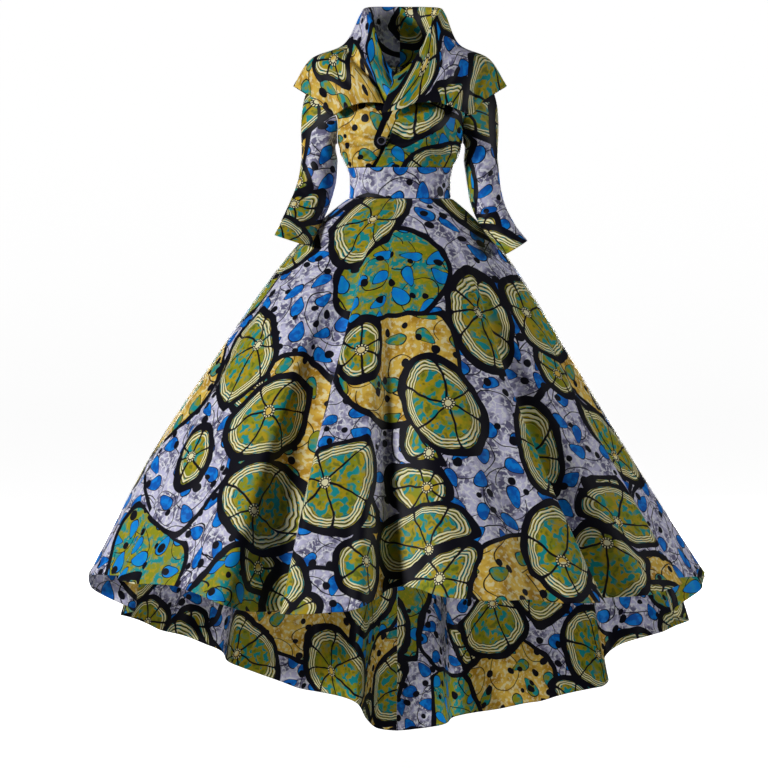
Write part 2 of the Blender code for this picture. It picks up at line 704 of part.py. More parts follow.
def tab(collection):
    top, bottom = np.array(TAB["top"]), np.array(TAB["bottom"])
    length = np.linalg.norm(bottom - top)
    along = (bottom - top) / length
    across = np.array([along[1], -along[0]])
    share = np.linspace(0, 1, TAB_ROWS + 1)
    to_end = np.clip((1 - share) * length / TAB["half_width"], TAB_TIP, 1)
    width = TAB["half_width"] * np.sqrt(1 - (1 - to_end) ** 2)
    line = top + share[:, None] * (bottom - top)
    sides = np.linspace(-1, 1, TAB_COLUMNS + 1)
    flat = line[:, None, :] + across * (width[:, None] * sides[None, :])[..., None]
    points, out = on_front(flat[..., 0], flat[..., 1])
    inner = points + out * SEAM
    wall("closure_tab", inner + out * TAB["cloth"], inner, collection)


def button(collection):
    """A turned button with a raised rim, lying on the end of the tab."""
    radius, rim, well = BUTTON["radius"], BUTTON["rim"], BUTTON["well"]
    profile = [
        (0.0, well * 1.15),
        (radius * 0.14, well * 1.12),
        (radius * 0.22, well),
        (radius * 0.62, well),
        (radius * 0.74, rim * 0.93),
        (radius * 0.88, rim),
        (radius * 0.98, rim * 0.80),
        (radius, rim * 0.45),
        (radius * 0.86, 0.0),
        (0.0, 0.0),
    ]
    mesh = bpy.data.meshes.new("front_button")
    edges = [(i, i + 1) for i in range(len(profile) - 1)]
    mesh.from_pydata([(r, 0, h) for r, h in profile], edges, [])
    made = add_object("front_button", mesh, "button_black", collection)
    turned = made.modifiers.new("turned", "SCREW")
    turned.axis = "Z"
    turned.steps = turned.render_steps = BUTTON_STEPS
    turned.use_merge_vertices = True
    turned.merge_threshold = 0.00001
    turned.use_smooth_shade = True
    point, out = on_front(BUTTON["x"], BUTTON["z"])
    made.location = Vector(point + out * (TAB["cloth"] + BUTTON_GAPS * SEAM))
    made.rotation_euler = Vector(out).to_track_quat("Z", "Y").to_euler()


def main():
    clear_scene()
    dress = bpy.data.collections.new("ankara_wax_print_dress")
    bpy.context.scene.collection.children.link(dress)
    bodice_front(dress)
    bodice_back(dress)
    waistband(dress)
    skirt_panels(dress)
    sleeves(dress)
    collar_halves(dress)
    tab(dress)
    button(dress)


main()
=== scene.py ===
import math
from functools import partialmethod

import bmesh
import bpy
from mathutils import Matrix, Vector
import numpy as np
from numpy.linalg import norm


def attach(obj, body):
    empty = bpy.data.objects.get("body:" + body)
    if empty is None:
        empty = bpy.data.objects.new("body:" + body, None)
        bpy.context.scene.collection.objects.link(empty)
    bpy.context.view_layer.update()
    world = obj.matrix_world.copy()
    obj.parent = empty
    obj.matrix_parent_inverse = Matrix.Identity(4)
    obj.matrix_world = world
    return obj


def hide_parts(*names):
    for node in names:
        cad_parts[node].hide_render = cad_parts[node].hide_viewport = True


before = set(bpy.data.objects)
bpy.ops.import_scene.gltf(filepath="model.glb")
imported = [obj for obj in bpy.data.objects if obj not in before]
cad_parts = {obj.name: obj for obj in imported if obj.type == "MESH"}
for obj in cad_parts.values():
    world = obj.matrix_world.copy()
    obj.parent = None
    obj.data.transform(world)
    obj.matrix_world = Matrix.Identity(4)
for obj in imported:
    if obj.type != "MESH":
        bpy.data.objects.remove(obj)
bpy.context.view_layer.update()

# ======== bodice
# Two crossed fronts and two backs of wax print cotton, each one layer, shaped by darts and sewn
# at the sides and shoulders. The wearer's left front lies over the right one. +Z is up, the front
# faces -Y, and azimuths are degrees about Z: 0 the centre front, 90 the wearer's left.

MM = 1000  # in a metre: most tables are in millimetres
WAIST_Z = -0.279
BAND_TOP_Z = -0.216
ARMPIT_Z = -0.165
SHOULDER_Z = -0.045
NECK_TOP_Z = -0.0015
NECK_DROP = 0.034
NECK_CURVE = 2.2  # how square the neckline is
ARMHOLE_DIP, ARMHOLE_CURVE = 31.0, 0.75
TORSO_SQUARENESS = 2.25
# The lower front stands in as it nears the lap, and more beneath it, clear of its creases.
OVERLAP_SINK, OVERLAP_FULL, OVERLAP_EASE = 0.003, 0.016, 0.03
UNDER_ROOM, UNDER_EASE = 0.0045, 0.012
LOW_ROWS, ARM_ROWS, TOP_ROWS = 22, 62, 34  # below the armpit, to the shoulder point, over it
PANEL_COLUMNS = 84
CLOTH = 0.0007  # the cotton itself, with its print
SEAM_GAP = 0.0003
SEAM_DIP, SEAM_REACH = 0.0011, 0.0045  # how the cloth turns in along a seam
TURNED_HEM, HEM_LIFT, HEM_STEP = 0.011, 0.0005, 0.002  # a narrow hem, and how it stands up
NO_EDGE = 1.0  # distance from a hem, on cloth that has none

TORSO = np.array([
    # z, side, front, back
    (-290, 109, 84, 79), (-262, 105.5, 80, 76.5), (-240, 106, 81, 77), (-216, 111, 86, 79),
    (-187, 124, 100, 84), (-165, 130, 110, 89), (-140, 139, 115, 94), (-110, 152, 112, 98),
    (-80, 166, 102, 99), (-60, 176, 94, 97), (-45, 180, 88, 94), (-33, 162, 83, 89),
    (-22, 130, 76, 80), (-11, 95, 64, 68), (0, 66, 50, 56),
]) / MM
BUST = {"side": 0.062, "z": -0.137, "rise": 0.013, "width": 0.042, "height": 0.04}
UPPER_FRONT_EDGE = np.array([
    # z, x
    (-230, -60), (-181, -33), (-153, -21), (-97, -6), (-34, -4),
]) / MM
LOWER_FRONT_EDGE = np.array([
    # z, x
    (-230, 30), (-100, 30), (-70, 24), (-50, 8), (-34, -4),
]) / MM

# Creases of a panel in its own flat sizes: from one point to another, across from the centre line
# and up from the waistband, with the width and the depth of the trough, - for a ridge.
FRONT_CREASES = np.array([
    # across1, up1, across2, up2, width, depth
    (186, 52, 118, 84, 9.5, 2.2), (178, 40, 112, 70, 8, -1.3), (172, 30, 100, 58, 8.5, 1.9),
    (158, 8, 92, 30, 7.5, 1.6), (66, 2, 64, 66, 3, 1.2), (-30, 56, 52, 76, 4.6, 3.8),
    (-30, 46, 44, 30, 4.6, 3.8), (-10, 74, 34, 108, 4.6, 3.2), (-48, 60, -112, 82, 5, 4.4),
    (-48, 50, -104, 44, 4.8, 4.2), (-50, 40, -92, 10, 4.8, 3.8), (-182, 50, -124, 88, 9, 2.1),
    (-176, 34, -110, 66, 8.5, -1.4), (-168, 22, -98, 48, 8, 1.8), (-67, 2, -65, 60, 3, 1.2),
]) / MM
BACK_CREASES = np.array([
    (62, 2, 58, 120, 3, 1.2), (176, 60, 95, 86, 9.5, 1.9), (168, 40, 86, 58, 8.5, -1.4),
    (155, 14, 70, 30, 8.5, 1.7), (18, 12, 90, 20, 8, 1.4), (-62, 2, -60, 116, 3, 1.2),
    (-172, 54, -102, 90, 9, 2), (-160, 30, -80, 46, 8.5, 1.6), (-20, 20, -84, 34, 7.5, 1.4),
]) / MM


def cubic(first, last, leave, arrive, s):
    """From first to last as s runs from 0 to 1, with the slopes given for its two ends."""
    ends = first * (1 + 2 * s) * (1 - s) ** 2 + last * s * s * (3 - 2 * s)
    return ends + leave * s * (1 - s) ** 2 + arrive * s * s * (s - 1)


def curve(table, column, at, period=None):
    """A column of the table as a smooth curve over its first column."""
    rows = np.array(table, float)
    if period:
        turn = np.eye(1, rows.shape[1]) * period
        rows = np.concatenate([rows - turn, rows, rows + turn])
    x, y = rows[:, 0], rows[:, column]
    at = np.clip(at, x[0], x[-1])
    step = np.diff(y) / np.diff(x)
    slope = np.zeros_like(y)
    slope[0], slope[-1] = step[0], step[-1]
    same_way = step[:-1] * step[1:] > 0
    both = np.where(same_way, step[:-1] + step[1:], 1)
    slope[1:-1] = np.where(same_way, 2 * step[:-1] * step[1:] / both, 0)
    i = np.clip(np.searchsorted(x, at, side="right") - 1, 0, len(x) - 2)
    wide = x[i + 1] - x[i]
    s = (at - x[i]) / wide
    return cubic(y[i], y[i + 1], slope[i] * wide, slope[i + 1] * wide, s)


def ease(x):
    x = np.clip(x, 0, 1)
    return x * x * (3 - 2 * x)


def torso(azimuth, z):
    angle = np.radians(azimuth)
    power = 2 / TORSO_SQUARENESS
    sine, cosine = np.sin(angle), np.cos(angle)
    depth = np.where(cosine > 0, curve(TORSO, 2, z), curve(TORSO, 3, z))
    x = curve(TORSO, 1, z) * np.sign(sine) * np.abs(sine) ** power
    y = -depth * np.sign(cosine) * np.abs(cosine) ** power
    lift = np.zeros_like(x)
    for side in (-1, 1):
        across = (x - side * BUST["side"]) / BUST["width"]
        lift += BUST["rise"] * np.exp(-(across**2) - ((z - BUST["z"]) / BUST["height"]) ** 2)
    return np.stack([x, y - lift * ease(cosine * 3), z + 0 * x], axis=-1)


def grid_normals(points, wrap=False):
    """Unit normals of a grid of points, from its own rows and columns."""
    if wrap:
        along = np.roll(points, -1, axis=1) - np.roll(points, 1, axis=1)
    else:
        along = np.gradient(points, axis=1)
    found = np.cross(along, np.gradient(points, axis=0))
    return found / np.maximum(norm(found, axis=-1, keepdims=True), 1e-12)


def edged(count, reach):
    """Shares from 0 to 1, with a few more close to both ends, where a seam turns the cloth in."""
    close = np.array([0.2, 0.45, 0.8]) * reach
    inside = np.linspace(reach * 1.3, 1 - reach * 1.3, count)
    return np.concatenate([[0], close, inside, 1 - close[::-1], [1]])


def spaced(start, end, shares):
    return start[:, None] + (end - start)[:, None] * shares


def lengths(points, axis):
    """Distance covered along the rows (axis 1) or columns (axis 0) of a grid of points."""
    steps = norm(np.diff(points, axis=axis), axis=-1)
    pad = [(0, 0), (0, 0)]
    pad[axis] = (1, 0)
    return np.pad(np.cumsum(steps, axis=axis), pad)


def from_edges(points):
    """Distance of each point from the grid's first and last row and column, along the cloth."""
    across, along = lengths(points, 1), lengths(points, 0)
    return {
        "none": np.full(across.shape, NO_EDGE),
        "first_column": across,
        "last_column": across[:, -1:] - across,
        "first_row": along,
        "last_row": along[-1:] - along,
    }


def turned_in(points, out, sides, *seams):
    """The cloth dips along the sides that are sewn, and near any other seams."""
    near = from_edges(points)
    to_seam = np.min([near["none"], *seams] + [near[side] for side in sides], axis=0)
    return points - out * (SEAM_DIP * (1 - ease(to_seam / SEAM_REACH)) ** 2)[..., None]


def hemmed(points, out, sides):
    """The cloth stands up where its edge is turned under. Also how far each point is from it."""
    near = from_edges(points)
    to_edge = np.min([near["none"]] + [near[side] for side in sides], axis=0)
    lift = HEM_LIFT * (1 - ease((to_edge - TURNED_HEM) / HEM_STEP))
    return points + out * lift[..., None], to_edge


def tapered(share):
    """Depth along a crease, strongest in its middle and nearly gone at its ends."""
    return np.sin(math.pi * np.clip(0.08 + share * 0.84, 0, 1)) ** 0.7


def creased(points, out, flat, creases):
    """Soft troughs and ridges along lines given in the panel's flat sizes."""
    flat = flat[:, : points.shape[1]]
    moved = np.zeros(points.shape[:2])
    for across1, up1, across2, up2, width, depth in creases:
        start = np.array([across1, up1])
        run = (across2, up2) - start
        share = ((flat - start) @ run) / (run @ run)
        held = np.clip(share, 0, 1)
        away = norm(flat - start - held[..., None] * run, axis=-1)
        ends = np.exp(-((np.abs(share - held) * norm(run) / (2 * width)) ** 2))
        moved += depth * tapered(held) * ends * np.exp(-((away / width) ** 2))
    return points - out * moved[..., None]


# ---- wax print cotton: a finished, slightly glazed plain weave, printed alike on both faces


def srgb(red, green, blue):
    """A colour given as 0 to 255, as the shader wants it."""
    parts = [c / 255 for c in (red, green, blue)]
    return tuple(p / 12.92 if p <= 0.04045 else ((p + 0.055) / 1.055) ** 2.4 for p in parts) + (1,)


NAVY = srgb(11, 10, 24)
CREAM = srgb(255, 248, 200)
YELLOW = srgb(244, 204, 88)
AMBER = srgb(204, 154, 44)
OLIVE = srgb(154, 158, 30)
OCHRE = srgb(194, 168, 30)
MOSS = srgb(88, 110, 36)
TEAL = srgb(22, 156, 160)
COBALT = srgb(10, 140, 240)
DEEP_BLUE = srgb(8, 98, 198)
SKY = srgb(14, 156, 232)
LAVENDER = srgb(214, 212, 242)
PALE = srgb(246, 246, 255)
SLATE = srgb(110, 108, 142)


FIELD = 0.34  # across one field of the print
OUTLINE, BOLD_ARC = 0.0138, 0.0066  # of a medallion, and half that of the arcs round a field
PETAL_GAP, ECHO_STEP = 0.0017, 0.006
ECHO_BAND = 0.1  # how far the echo lines reach in from a petal's tip, for a size of 1
VINE = 0.0011  # half the width of a thin looping line
YARN, STITCH, STITCH_LINE = 0.0006, 0.0034, TURNED_HEM - 0.0015  # two yarns, a stitch, its place


class Wire:
    """A shader socket that takes arithmetic: each expression adds its Math nodes."""

    def __init__(self, tree, socket=None):
        self.tree = tree
        self.socket = socket

    def node(self, kind, settings, inputs, out=0):
        """Add any node: its settings first, then the values or links of its sockets."""
        made = self.tree.nodes.new("ShaderNode" + kind)
        for name, value in settings.items():
            setattr(made, name, value)
        for name, value in inputs.items():
            if isinstance(value, Wire):
                self.tree.links.new(value.socket, made.inputs[name])
            else:
                made.inputs[name].default_value = value
        if isinstance(out, tuple):
            return [Wire(self.tree, made.outputs[o]) for o in out]
        return Wire(self.tree, made.outputs[out])

    def math(self, operation, *others):
        return self.node("Math", {"operation": operation}, dict(enumerate((self, *others))))

    __add__ = __radd__ = partialmethod(math, "ADD")
    __sub__ = partialmethod(math, "SUBTRACT")
    __mul__ = __rmul__ = partialmethod(math, "MULTIPLY")
    __truediv__ = partialmethod(math, "DIVIDE")

    def __rsub__(self, other):
        return self.node("Math", {"operation": "SUBTRACT"}, {0: other, 1: self})

    def rise(self, low, high):
        """0 below low, 1 above high and smooth between."""
        settings = {"interpolation_type": "SMOOTHSTEP"}
        return self.node("MapRange", settings, {"Value": self, "From Min": low, "From Max": high})

    def under(self, limit, soft=0.0005):
        """1 where the value is under the limit, with a soft edge."""
        return 1 - self.rise(limit - soft, limit + soft)

    def paint(self, base, colour):
        """Lay a colour over the base where this mask is 1."""
        settings = {"data_type": "RGBA", "clamp_factor": True}
        return self.node("Mix", settings, {0: self, 6: base, 7: colour}, 2)

    def shift(self, other, operation="ADD"):
        return self.node("VectorMath", {"operation": operation}, {0: self, 1: other})

    def length(self):
        return self.node("VectorMath", {"operation": "LENGTH"}, {0: self}, "Value")

    def split(self):
        return self.node("SeparateXYZ", {}, {0: self}, (0, 1))

    def feed(self, shader, name):
        self.tree.links.new(self.socket, shader.inputs[name])

    def noise(self, scale, detail=2.0, out=0):
        settings = {"noise_dimensions": "2D"}
        inputs = {"Vector": self, "Scale": scale, "Detail": detail}
        return self.node("TexNoise", settings, inputs, out)


def scattered(place, size, scatter, feature, out):
    settings = {"voronoi_dimensions": "2D", "feature": feature}
    inputs = {"Vector": place, "Scale": 1 / size, "Randomness": scatter}
    return place.node("TexVoronoi", settings, inputs, out)


def cells(place, size, scatter=1.0):
    """Scattered points a size apart: where each place is from its nearest one, and three random
    numbers that belong to that point."""
    colour, centre = scattered(place, size, scatter, "F1", ("Color", "Position"))
    chance = place.node("SeparateColor", {}, {0: colour}, (0, 1, 2))
    return place.shift(centre, "SUBTRACT"), chance


def borders(place, size, scatter=1.0):
    """Distance to the line midway between the scattered points."""
    return scattered(place, size, scatter, "DISTANCE_TO_EDGE", 0) * size


def turned(local, share):
    """Coordinates in a frame turned by a share of a full turn."""
    x, y = local.split()
    angle = share * (2 * math.pi)
    sine, cosine = angle.math("SINE"), angle.math("COSINE")
    return x * cosine + y * sine, y * cosine - x * sine


def oval(x, y, long, wide):
    """Distance from the middle of an oval as a share of its rim's."""
    return ((x / long).math("POWER", 2.0) + (y / wide).math("POWER", 2.0)).math("SQRT")


def picked(chance, share):
    """1 for about that share of the scattered points."""
    return chance.rise(1 - share, 1.001 - share)


def medallions(place, base, size, scatter, share):
    """Ovals with a bold outline, each cut into petals with echo lines along their tips."""
    local, (chance, tilt, plump) = cells(place, size, scatter)
    x, y = turned(local, tilt)
    bend = place.noise(11.0, 0.0) - 0.5
    long = plump * (0.12 * size) + 0.47 * size
    wide = tilt * (0.14 * size) + 0.31 * size
    rim = (1 - oval(x, y, long, wide) - bend * 0.22) * (0.4 * size)
    rim = rim.math("SMOOTH_MIN", borders(place, size, scatter) + 0.004, 0.02)
    off_x = x - (plump - 0.5) * (0.26 * size)
    off_y = y - (chance - 0.72) * (0.3 * size)
    reach = oval(off_x, off_y, 1.0, 1.0)
    angle = off_y.math("ARCTAN2", off_x) / (2 * math.pi)
    petals = (plump * 2.99).math("FLOOR") + 5
    turn = (angle + bend * 0.07) * petals + tilt
    to_side = (1 - (turn.math("FRACT") * 2 - 1).math("ABSOLUTE")) * reach * math.pi / petals
    inside = rim - OUTLINE
    leaf = inside.math("SMOOTH_MIN", to_side - PETAL_GAP, 0.011)
    wave = place.noise(46.0, 1.0) * 0.0052
    echo = inside.math("SMOOTH_MIN", to_side * 2.6 + inside * 0.3 + 0.007, 0.012) + wave
    mottle = place.noise(36.0, 2.0)
    spots = place.shift((3.7, 1.1, 0)).noise(62.0, 1.0)
    patch = place.shift((0.8, 5.1, 0)).noise(15.0, 1.0)
    petal = mottle.rise(0.4, 0.6).paint(OLIVE, OCHRE)
    petal = (spots.rise(0.5, 0.6) * patch.rise(0.3, 0.46)).paint(petal, TEAL)
    petal = (spots.under(0.34, 0.05) * 0.7).paint(petal, MOSS)
    near_tip = echo.under(ECHO_BAND * size, 0.0016) * reach.rise(0.016, 0.03)
    line = (echo / ECHO_STEP).math("FRACT")
    petal = (near_tip * line.under(0.5, 0.07)).paint(petal, CREAM)
    petal = (near_tip * line.rise(0.7, 0.78) * 0.9).paint(petal, NAVY)
    petal = leaf.under(0.0006, 0.0008).paint(petal, NAVY)
    beads = (angle * 12).math("FRACT").under(0.5, 0.05) * reach.under(0.0125)
    beads = beads * reach.rise(0.0088, 0.0092)
    petal = reach.under(0.0135).paint(petal, NAVY)
    petal = beads.paint(petal, CREAM)
    petal = reach.under(0.007).paint(petal, mottle.rise(0.45, 0.6).paint(CREAM, YELLOW))
    return (rim.rise(-0.0004, 0.0004) * picked(chance, share)).paint(base, petal)


def drops(place, base, size, colour, dark, share):
    """Egg and drop shapes with a thin outline."""
    local, (chance, tilt, plump) = cells(place, size, 0.45)
    x, y = turned(local, tilt)
    long = plump * (0.09 * size) + 0.33 * size
    wide = (x / (4.0 * size) + 0.215) * (tilt * 0.34 + 0.84) * size
    rim = (1 - oval(x, y, long, wide)) * (0.23 * size)
    fill = place.noise(58.0, 3.0).rise(0.4, 0.62).paint(dark, colour)
    here = picked(chance, share)
    base = (here * rim.rise(-0.0008, -0.0003)).paint(base, NAVY)
    return (here * rim.rise(0.0007, 0.0013)).paint(base, fill)


def dots(place, base, size, share):
    local, (chance, plump, _) = cells(place, size, 0.9)
    spot = local.length().under(plump * 0.0044 + 0.0058)
    return (picked(chance, share) * spot).paint(base, NAVY)


def vines(place, base, size):
    """Thin lines that run round in loops."""
    local, (_, plump, _) = cells(place, size)
    off_loop = (local.length() - plump * (0.2 * size) - 0.3 * size).math("ABSOLUTE")
    return off_loop.under(VINE).paint(base, NAVY)


def wander(flat, scale, reach):
    """How far a hand-drawn line strays at each place, by at most half the reach."""
    stray = flat.noise(scale, 1.0, "Color").shift((0.5, 0.5, 0.5), "SUBTRACT")
    return stray.shift((reach, reach, 0), "MULTIPLY")


def new_material(name, constants):
    """A new material, with its shader and a wire to build its nodes from."""
    made = bpy.data.materials.new(name)
    made.use_nodes = True
    shader = made.node_tree.nodes["Principled BSDF"]
    for socket, value in constants.items():
        shader.inputs[socket].default_value = value
    return made, shader, Wire(made.node_tree)


# Fields of three grounds inside bold arcs, with medallions over them.
constants = {"Sheen Weight": 0.02, "Specular IOR Level": 0.18}
wax_print, shader, cloth = new_material("wax_print_cotton", constants)
flat = cloth.node("UVMap", {"uv_map": "print"}, {})
hand = wander(flat, 24.0, 0.009)
place = flat.shift(hand)
arcs = place.shift(wander(flat, 3.4, 0.14))


def strewn(base, drops_at, drop, colours, share, dots_at, dot, dot_share):
    """A ground with vines over it, then drops and dots, each from its own place."""
    base = vines(arcs.shift((3.1, 1.7, 0)), base, 0.105)
    base = drops(place.shift(drops_at), base, drop, *colours, share)
    return dots(place.shift(dots_at), base, dot, dot_share)


mottle = place.noise(30.0, 3.0)
fine = place.noise(95.0, 2.0)
crackle = borders(place.shift(hand), 0.015)

lavender = mottle.rise(0.38, 0.6).paint(SLATE, LAVENDER)
lavender = (crackle.under(0.0013, 0.001) * fine.rise(0.38, 0.54)).paint(lavender, PALE)
lavender = (fine.rise(0.54, 0.66) * 0.8).paint(lavender, PALE)
lavender = vines(place.shift((5.2, 0.7, 0)), lavender, 0.15)
blue = COBALT, DEEP_BLUE
lavender = strewn(lavender, (0.3, 0.9, 0), 0.06, blue, 0.92, (1.3, 0.2, 0), 0.039, 0.5)

yellow = mottle.rise(0.42, 0.66).paint(YELLOW, AMBER)
yellow = (fine.rise(0.5, 0.64) * 0.7).paint(yellow, CREAM)
yellow = strewn(yellow, (2.1, 0.4, 0), 0.062, (OLIVE, TEAL), 0.64, (0.7, 2.2, 0), 0.036, 0.55)

green = mottle.rise(0.42, 0.56).paint(TEAL, OLIVE)
green = (fine.rise(0.54, 0.62) * 0.8).paint(green, OCHRE)
green = strewn(green, (1.1, 1.9, 0), 0.06, (SKY, COBALT), 0.84, (2.4, 1.2, 0), 0.04, 0.45)

local, (field, plump, _) = cells(arcs, FIELD)
round_it = plump * 0.06 + 0.135 - local.length()
round_it = round_it.math("SMOOTH_MIN", borders(arcs, FIELD), 0.02)
inner = field.rise(0.5, 0.501).paint(green, yellow)
inner = field.rise(0.82, 0.821).paint(inner, lavender)
ground = round_it.rise(-0.0004, 0.0004).paint(lavender, inner)
ground = round_it.math("ABSOLUTE").under(BOLD_ARC).paint(ground, NAVY)
ground = medallions(place.shift((0.45, 0.15, 0)), ground, 0.155, 0.85, 0.36)
ground = medallions(place.shift((4.15, 2.35, 0)), ground, 0.235, 0.72, 0.7)

ground.feed(shader, "Base Color")
glaze = place.noise(60.0, 2.0) * 0.12 + 0.48
glaze.feed(shader, "Roughness")

u, v = flat.split()
weave = (u * (2 * math.pi / YARN)).math("SINE") * (v * (2 * math.pi / YARN)).math("SINE")
slub = flat.noise(300.0, 2.0)
height = weave * 0.00002 + slub * 0.00008 + mottle * 0.0006
to_edge = cloth.node("Attribute", {"attribute_name": "to_edge"}, {}, "Fac")
line = (to_edge - STITCH_LINE).math("ABSOLUTE")
dash = ((u + v * 0.6) / STITCH).math("FRACT").under(0.66, 0.08)
height = height - line.under(0.0012, 0.001) * 0.0005
height = height + line.under(0.0004, 0.0003) * dash * 0.0004
bump = cloth.node("Bump", {}, {"Height": height, "Strength": 0.6, "Distance": 1.0})
bump.feed(shader, "Normal")


def in_scene(name, data):
    made = bpy.data.objects.new(name, data)
    bpy.context.scene.collection.objects.link(made)
    return made


def shell(
    name, node, points, out, flat, shift, sewn=(), turned=(), wrap=False, thick=CLOTH
):
    """A sheet of cloth through a grid of points, with its flat pattern as the print's UV map,
    which shift moves over the printed cloth and turns."""
    points, to_edge = hemmed(turned_in(points, out, sewn), out, turned)
    rows, columns = points.shape[:2]
    across = columns if wrap else columns - 1
    forward = (grid_normals(points, wrap) * out).sum() > 0
    ring = np.array([(0, 0), (0, 1), (1, 1), (1, 0)])[:: 1 if forward else -1]
    corners = np.argwhere(np.ones((rows - 1, across)))[:, None] + ring
    faces = corners[..., 0] * columns + corners[..., 1] % columns
    mesh = bpy.data.meshes.new(name)
    mesh.from_pydata(points.reshape(-1, 3).tolist(), [], faces.tolist())
    layer = mesh.uv_layers.new(name="print")
    x, y, turn = shift
    sine, cosine = math.sin(turn), math.cos(turn)
    cut = flat @ np.array([[cosine, sine], [-sine, cosine]]) + (x, y)
    layer.data.foreach_set("uv", cut[corners[..., 0], corners[..., 1]].ravel())
    stitched = mesh.attributes.new("to_edge", "FLOAT", "POINT")
    stitched.data.foreach_set("value", to_edge.ravel())
    mesh.shade_smooth()
    mesh.materials.append(wax_print)
    piece = in_scene(name, mesh)
    wall = piece.modifiers.new("wall", "SOLIDIFY")
    wall.thickness = thick
    wall.offset = -1
    bpy.ops.object.select_all(action="DESELECT")
    bpy.context.view_layer.objects.active = piece
    bpy.ops.object.modifier_apply(modifier="wall")
    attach(piece, "root")
    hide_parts(node)
    p, q = flat[1:, 1:] - flat[:-1, :-1], flat[1:, :-1] - flat[:-1, 1:]  # across each face
    area = float(np.abs(p[..., 0] * q[..., 1] - p[..., 1] * q[..., 0]).sum() / 2)


def facing(points, away, wrap=False):
    """The grid's unit normals, turned to the side that away points to."""
    out = grid_normals(points, wrap)
    return out * math.copysign(1, (out * away).sum())


def armhole_cut(z):
    share = np.clip((z - ARMPIT_Z) / (SHOULDER_Z - ARMPIT_Z), 0, 1)
    return ARMHOLE_DIP * np.sin(math.pi * share) ** ARMHOLE_CURVE


def azimuth_at(x, z):
    share = np.clip(np.abs(x) / curve(TORSO, 1, z), 0, 1)
    return np.sign(x) * np.degrees(np.arcsin(share ** (TORSO_SQUARENESS / 2)))


def bodice_panel(place, half, rows, start, end, creases, shift, sewn, turned=(), under=None):
    """A panel between two azimuths at each height. The first column is its middle edge."""
    azimuths = spaced(start, end, edged(PANEL_COLUMNS, 0.022))
    points = torso(azimuths, rows[:, None])
    out = facing(points, points * (1, 1, 0))
    side = math.copysign(1, end[0])
    flat = np.stack([points[:, :1, 0] + side * lengths(points, 1), lengths(points, 0)], axis=-1)
    plain, points = points, creased(points, out, flat, creases)
    if under is not None:
        past = plain[..., :1] - under[:, None, None]
        sunk = ease((past + OVERLAP_FULL) / OVERLAP_EASE + 1)
        covered = ease(past / UNDER_EASE + 1)
        points = plain + (points - plain) * (1 - sunk)
        points = points - out * (OVERLAP_SINK * sunk + UNDER_ROOM * covered)
    name, node = f"{place}_{half}_cloth", f"bodice_{place}_{half}"
    shell(name, node, points, out, flat, shift, sewn, turned)


# Heights of a bodice panel's rows, closer at its seams.
low = BAND_TOP_Z + SEAM_GAP + (ARMPIT_Z - BAND_TOP_Z) * edged(LOW_ROWS, 0.09)[:-4]
arm = np.linspace(ARMPIT_Z, SHOULDER_Z, ARM_ROWS)
top = np.linspace(SHOULDER_Z, NECK_TOP_Z, TOP_ROWS)[1:]
rows = np.concatenate([low[low < ARMPIT_Z - 0.001], arm, top])
gap = np.degrees(SEAM_GAP * 0.75 / curve(TORSO, 1, rows))
side = 90 - armhole_cut(rows) - gap
neck = np.clip((NECK_TOP_Z - rows) / NECK_DROP, 0, 1)
neck = np.degrees(np.arccos(neck ** (1 / NECK_CURVE)))
at_neck = rows > NECK_TOP_Z - NECK_DROP
sewn = ["last_column", "first_row"]
for half, way, edge, shift in (
    ("left", 1, UPPER_FRONT_EDGE, (0.31, 1.62, 0.5)),
    ("right", -1, LOWER_FRONT_EDGE, (1.77, 0.93, -0.3)),
):
    start = np.where(at_neck, neck, way * azimuth_at(curve(edge, 1, rows), rows))
    start = way * np.minimum(start, side - 3)
    laps = (["first_column"],) if way > 0 else ((), curve(UPPER_FRONT_EDGE, 1, rows))
    bodice_panel("front", half, rows, start, way * side, FRONT_CREASES, shift, sewn, *laps)
side = 90 + armhole_cut(rows) + gap
middle = 180 - np.degrees(SEAM_GAP / 2 / np.maximum(curve(TORSO, 3, rows), 0.05))
sewn.append("first_column")
for half, way, shift in (("left", 1, (2.9, 0.4, 0.1)), ("right", -1, (3.3, 1.9, 0.2))):
    bodice_panel("back", half, rows, way * middle, way * side, BACK_CREASES, shift, sewn)

# ======== waistband
# A shaped band of the same cotton in three pieces, interfaced so that it lies smooth, sewn to the
# bodice above and the skirt below. It is open at the centre back, where a zip closes it.

BAND_CREASES = np.array([
    # across1, up1, across2, up2, width, depth
    (-135, 12, -85, 26, 6, 1), (-60, 40, -20, 34, 6, 0.9), (70, 18, 120, 34, 6, 1),
    (148, 40, 104, 50, 5.5, 0.9),
]) / MM


def band_piece(name, node, start, end, count, shift):
    rows = WAIST_Z + (BAND_TOP_Z - SEAM_GAP - WAIST_Z) * edged(24, 0.07)
    gap = np.degrees(SEAM_GAP * 0.75 / curve(TORSO, 1, rows))
    turn = math.copysign(1, end - start)
    azimuths = spaced(start + turn * gap, end - turn * gap, edged(count, 1.4 / count))
    points = torso(azimuths, rows[:, None])
    out = facing(points, points * (1, 1, 0))
    across = lengths(points, 1)
    flat = np.stack([turn * (across - across[:, -1:] / 2), lengths(points, 0)], axis=-1)
    points = creased(points, out, flat, BAND_CREASES)
    sewn = ["first_column", "last_column", "first_row", "last_row"]
    shell(name, node, points, out, flat, shift, sewn)


band_piece("band_front_cloth", "waistband_front", -90, 90, 110, (0.62, 2.35, 0.0))
band_piece("band_left_cloth", "waistband_back_left", 90, 180, 60, (2.1, 0.2, 0.1))
band_piece("band_right_cloth", "waistband_back_right", -90, -180, 60, (2.6, 0.8, 0.0))

# ======== skirt
# A circle skirt in three panels, short in front and long behind, with a narrow turned hem. It falls
# in deep flutes from the hips down, with smaller ones between them.

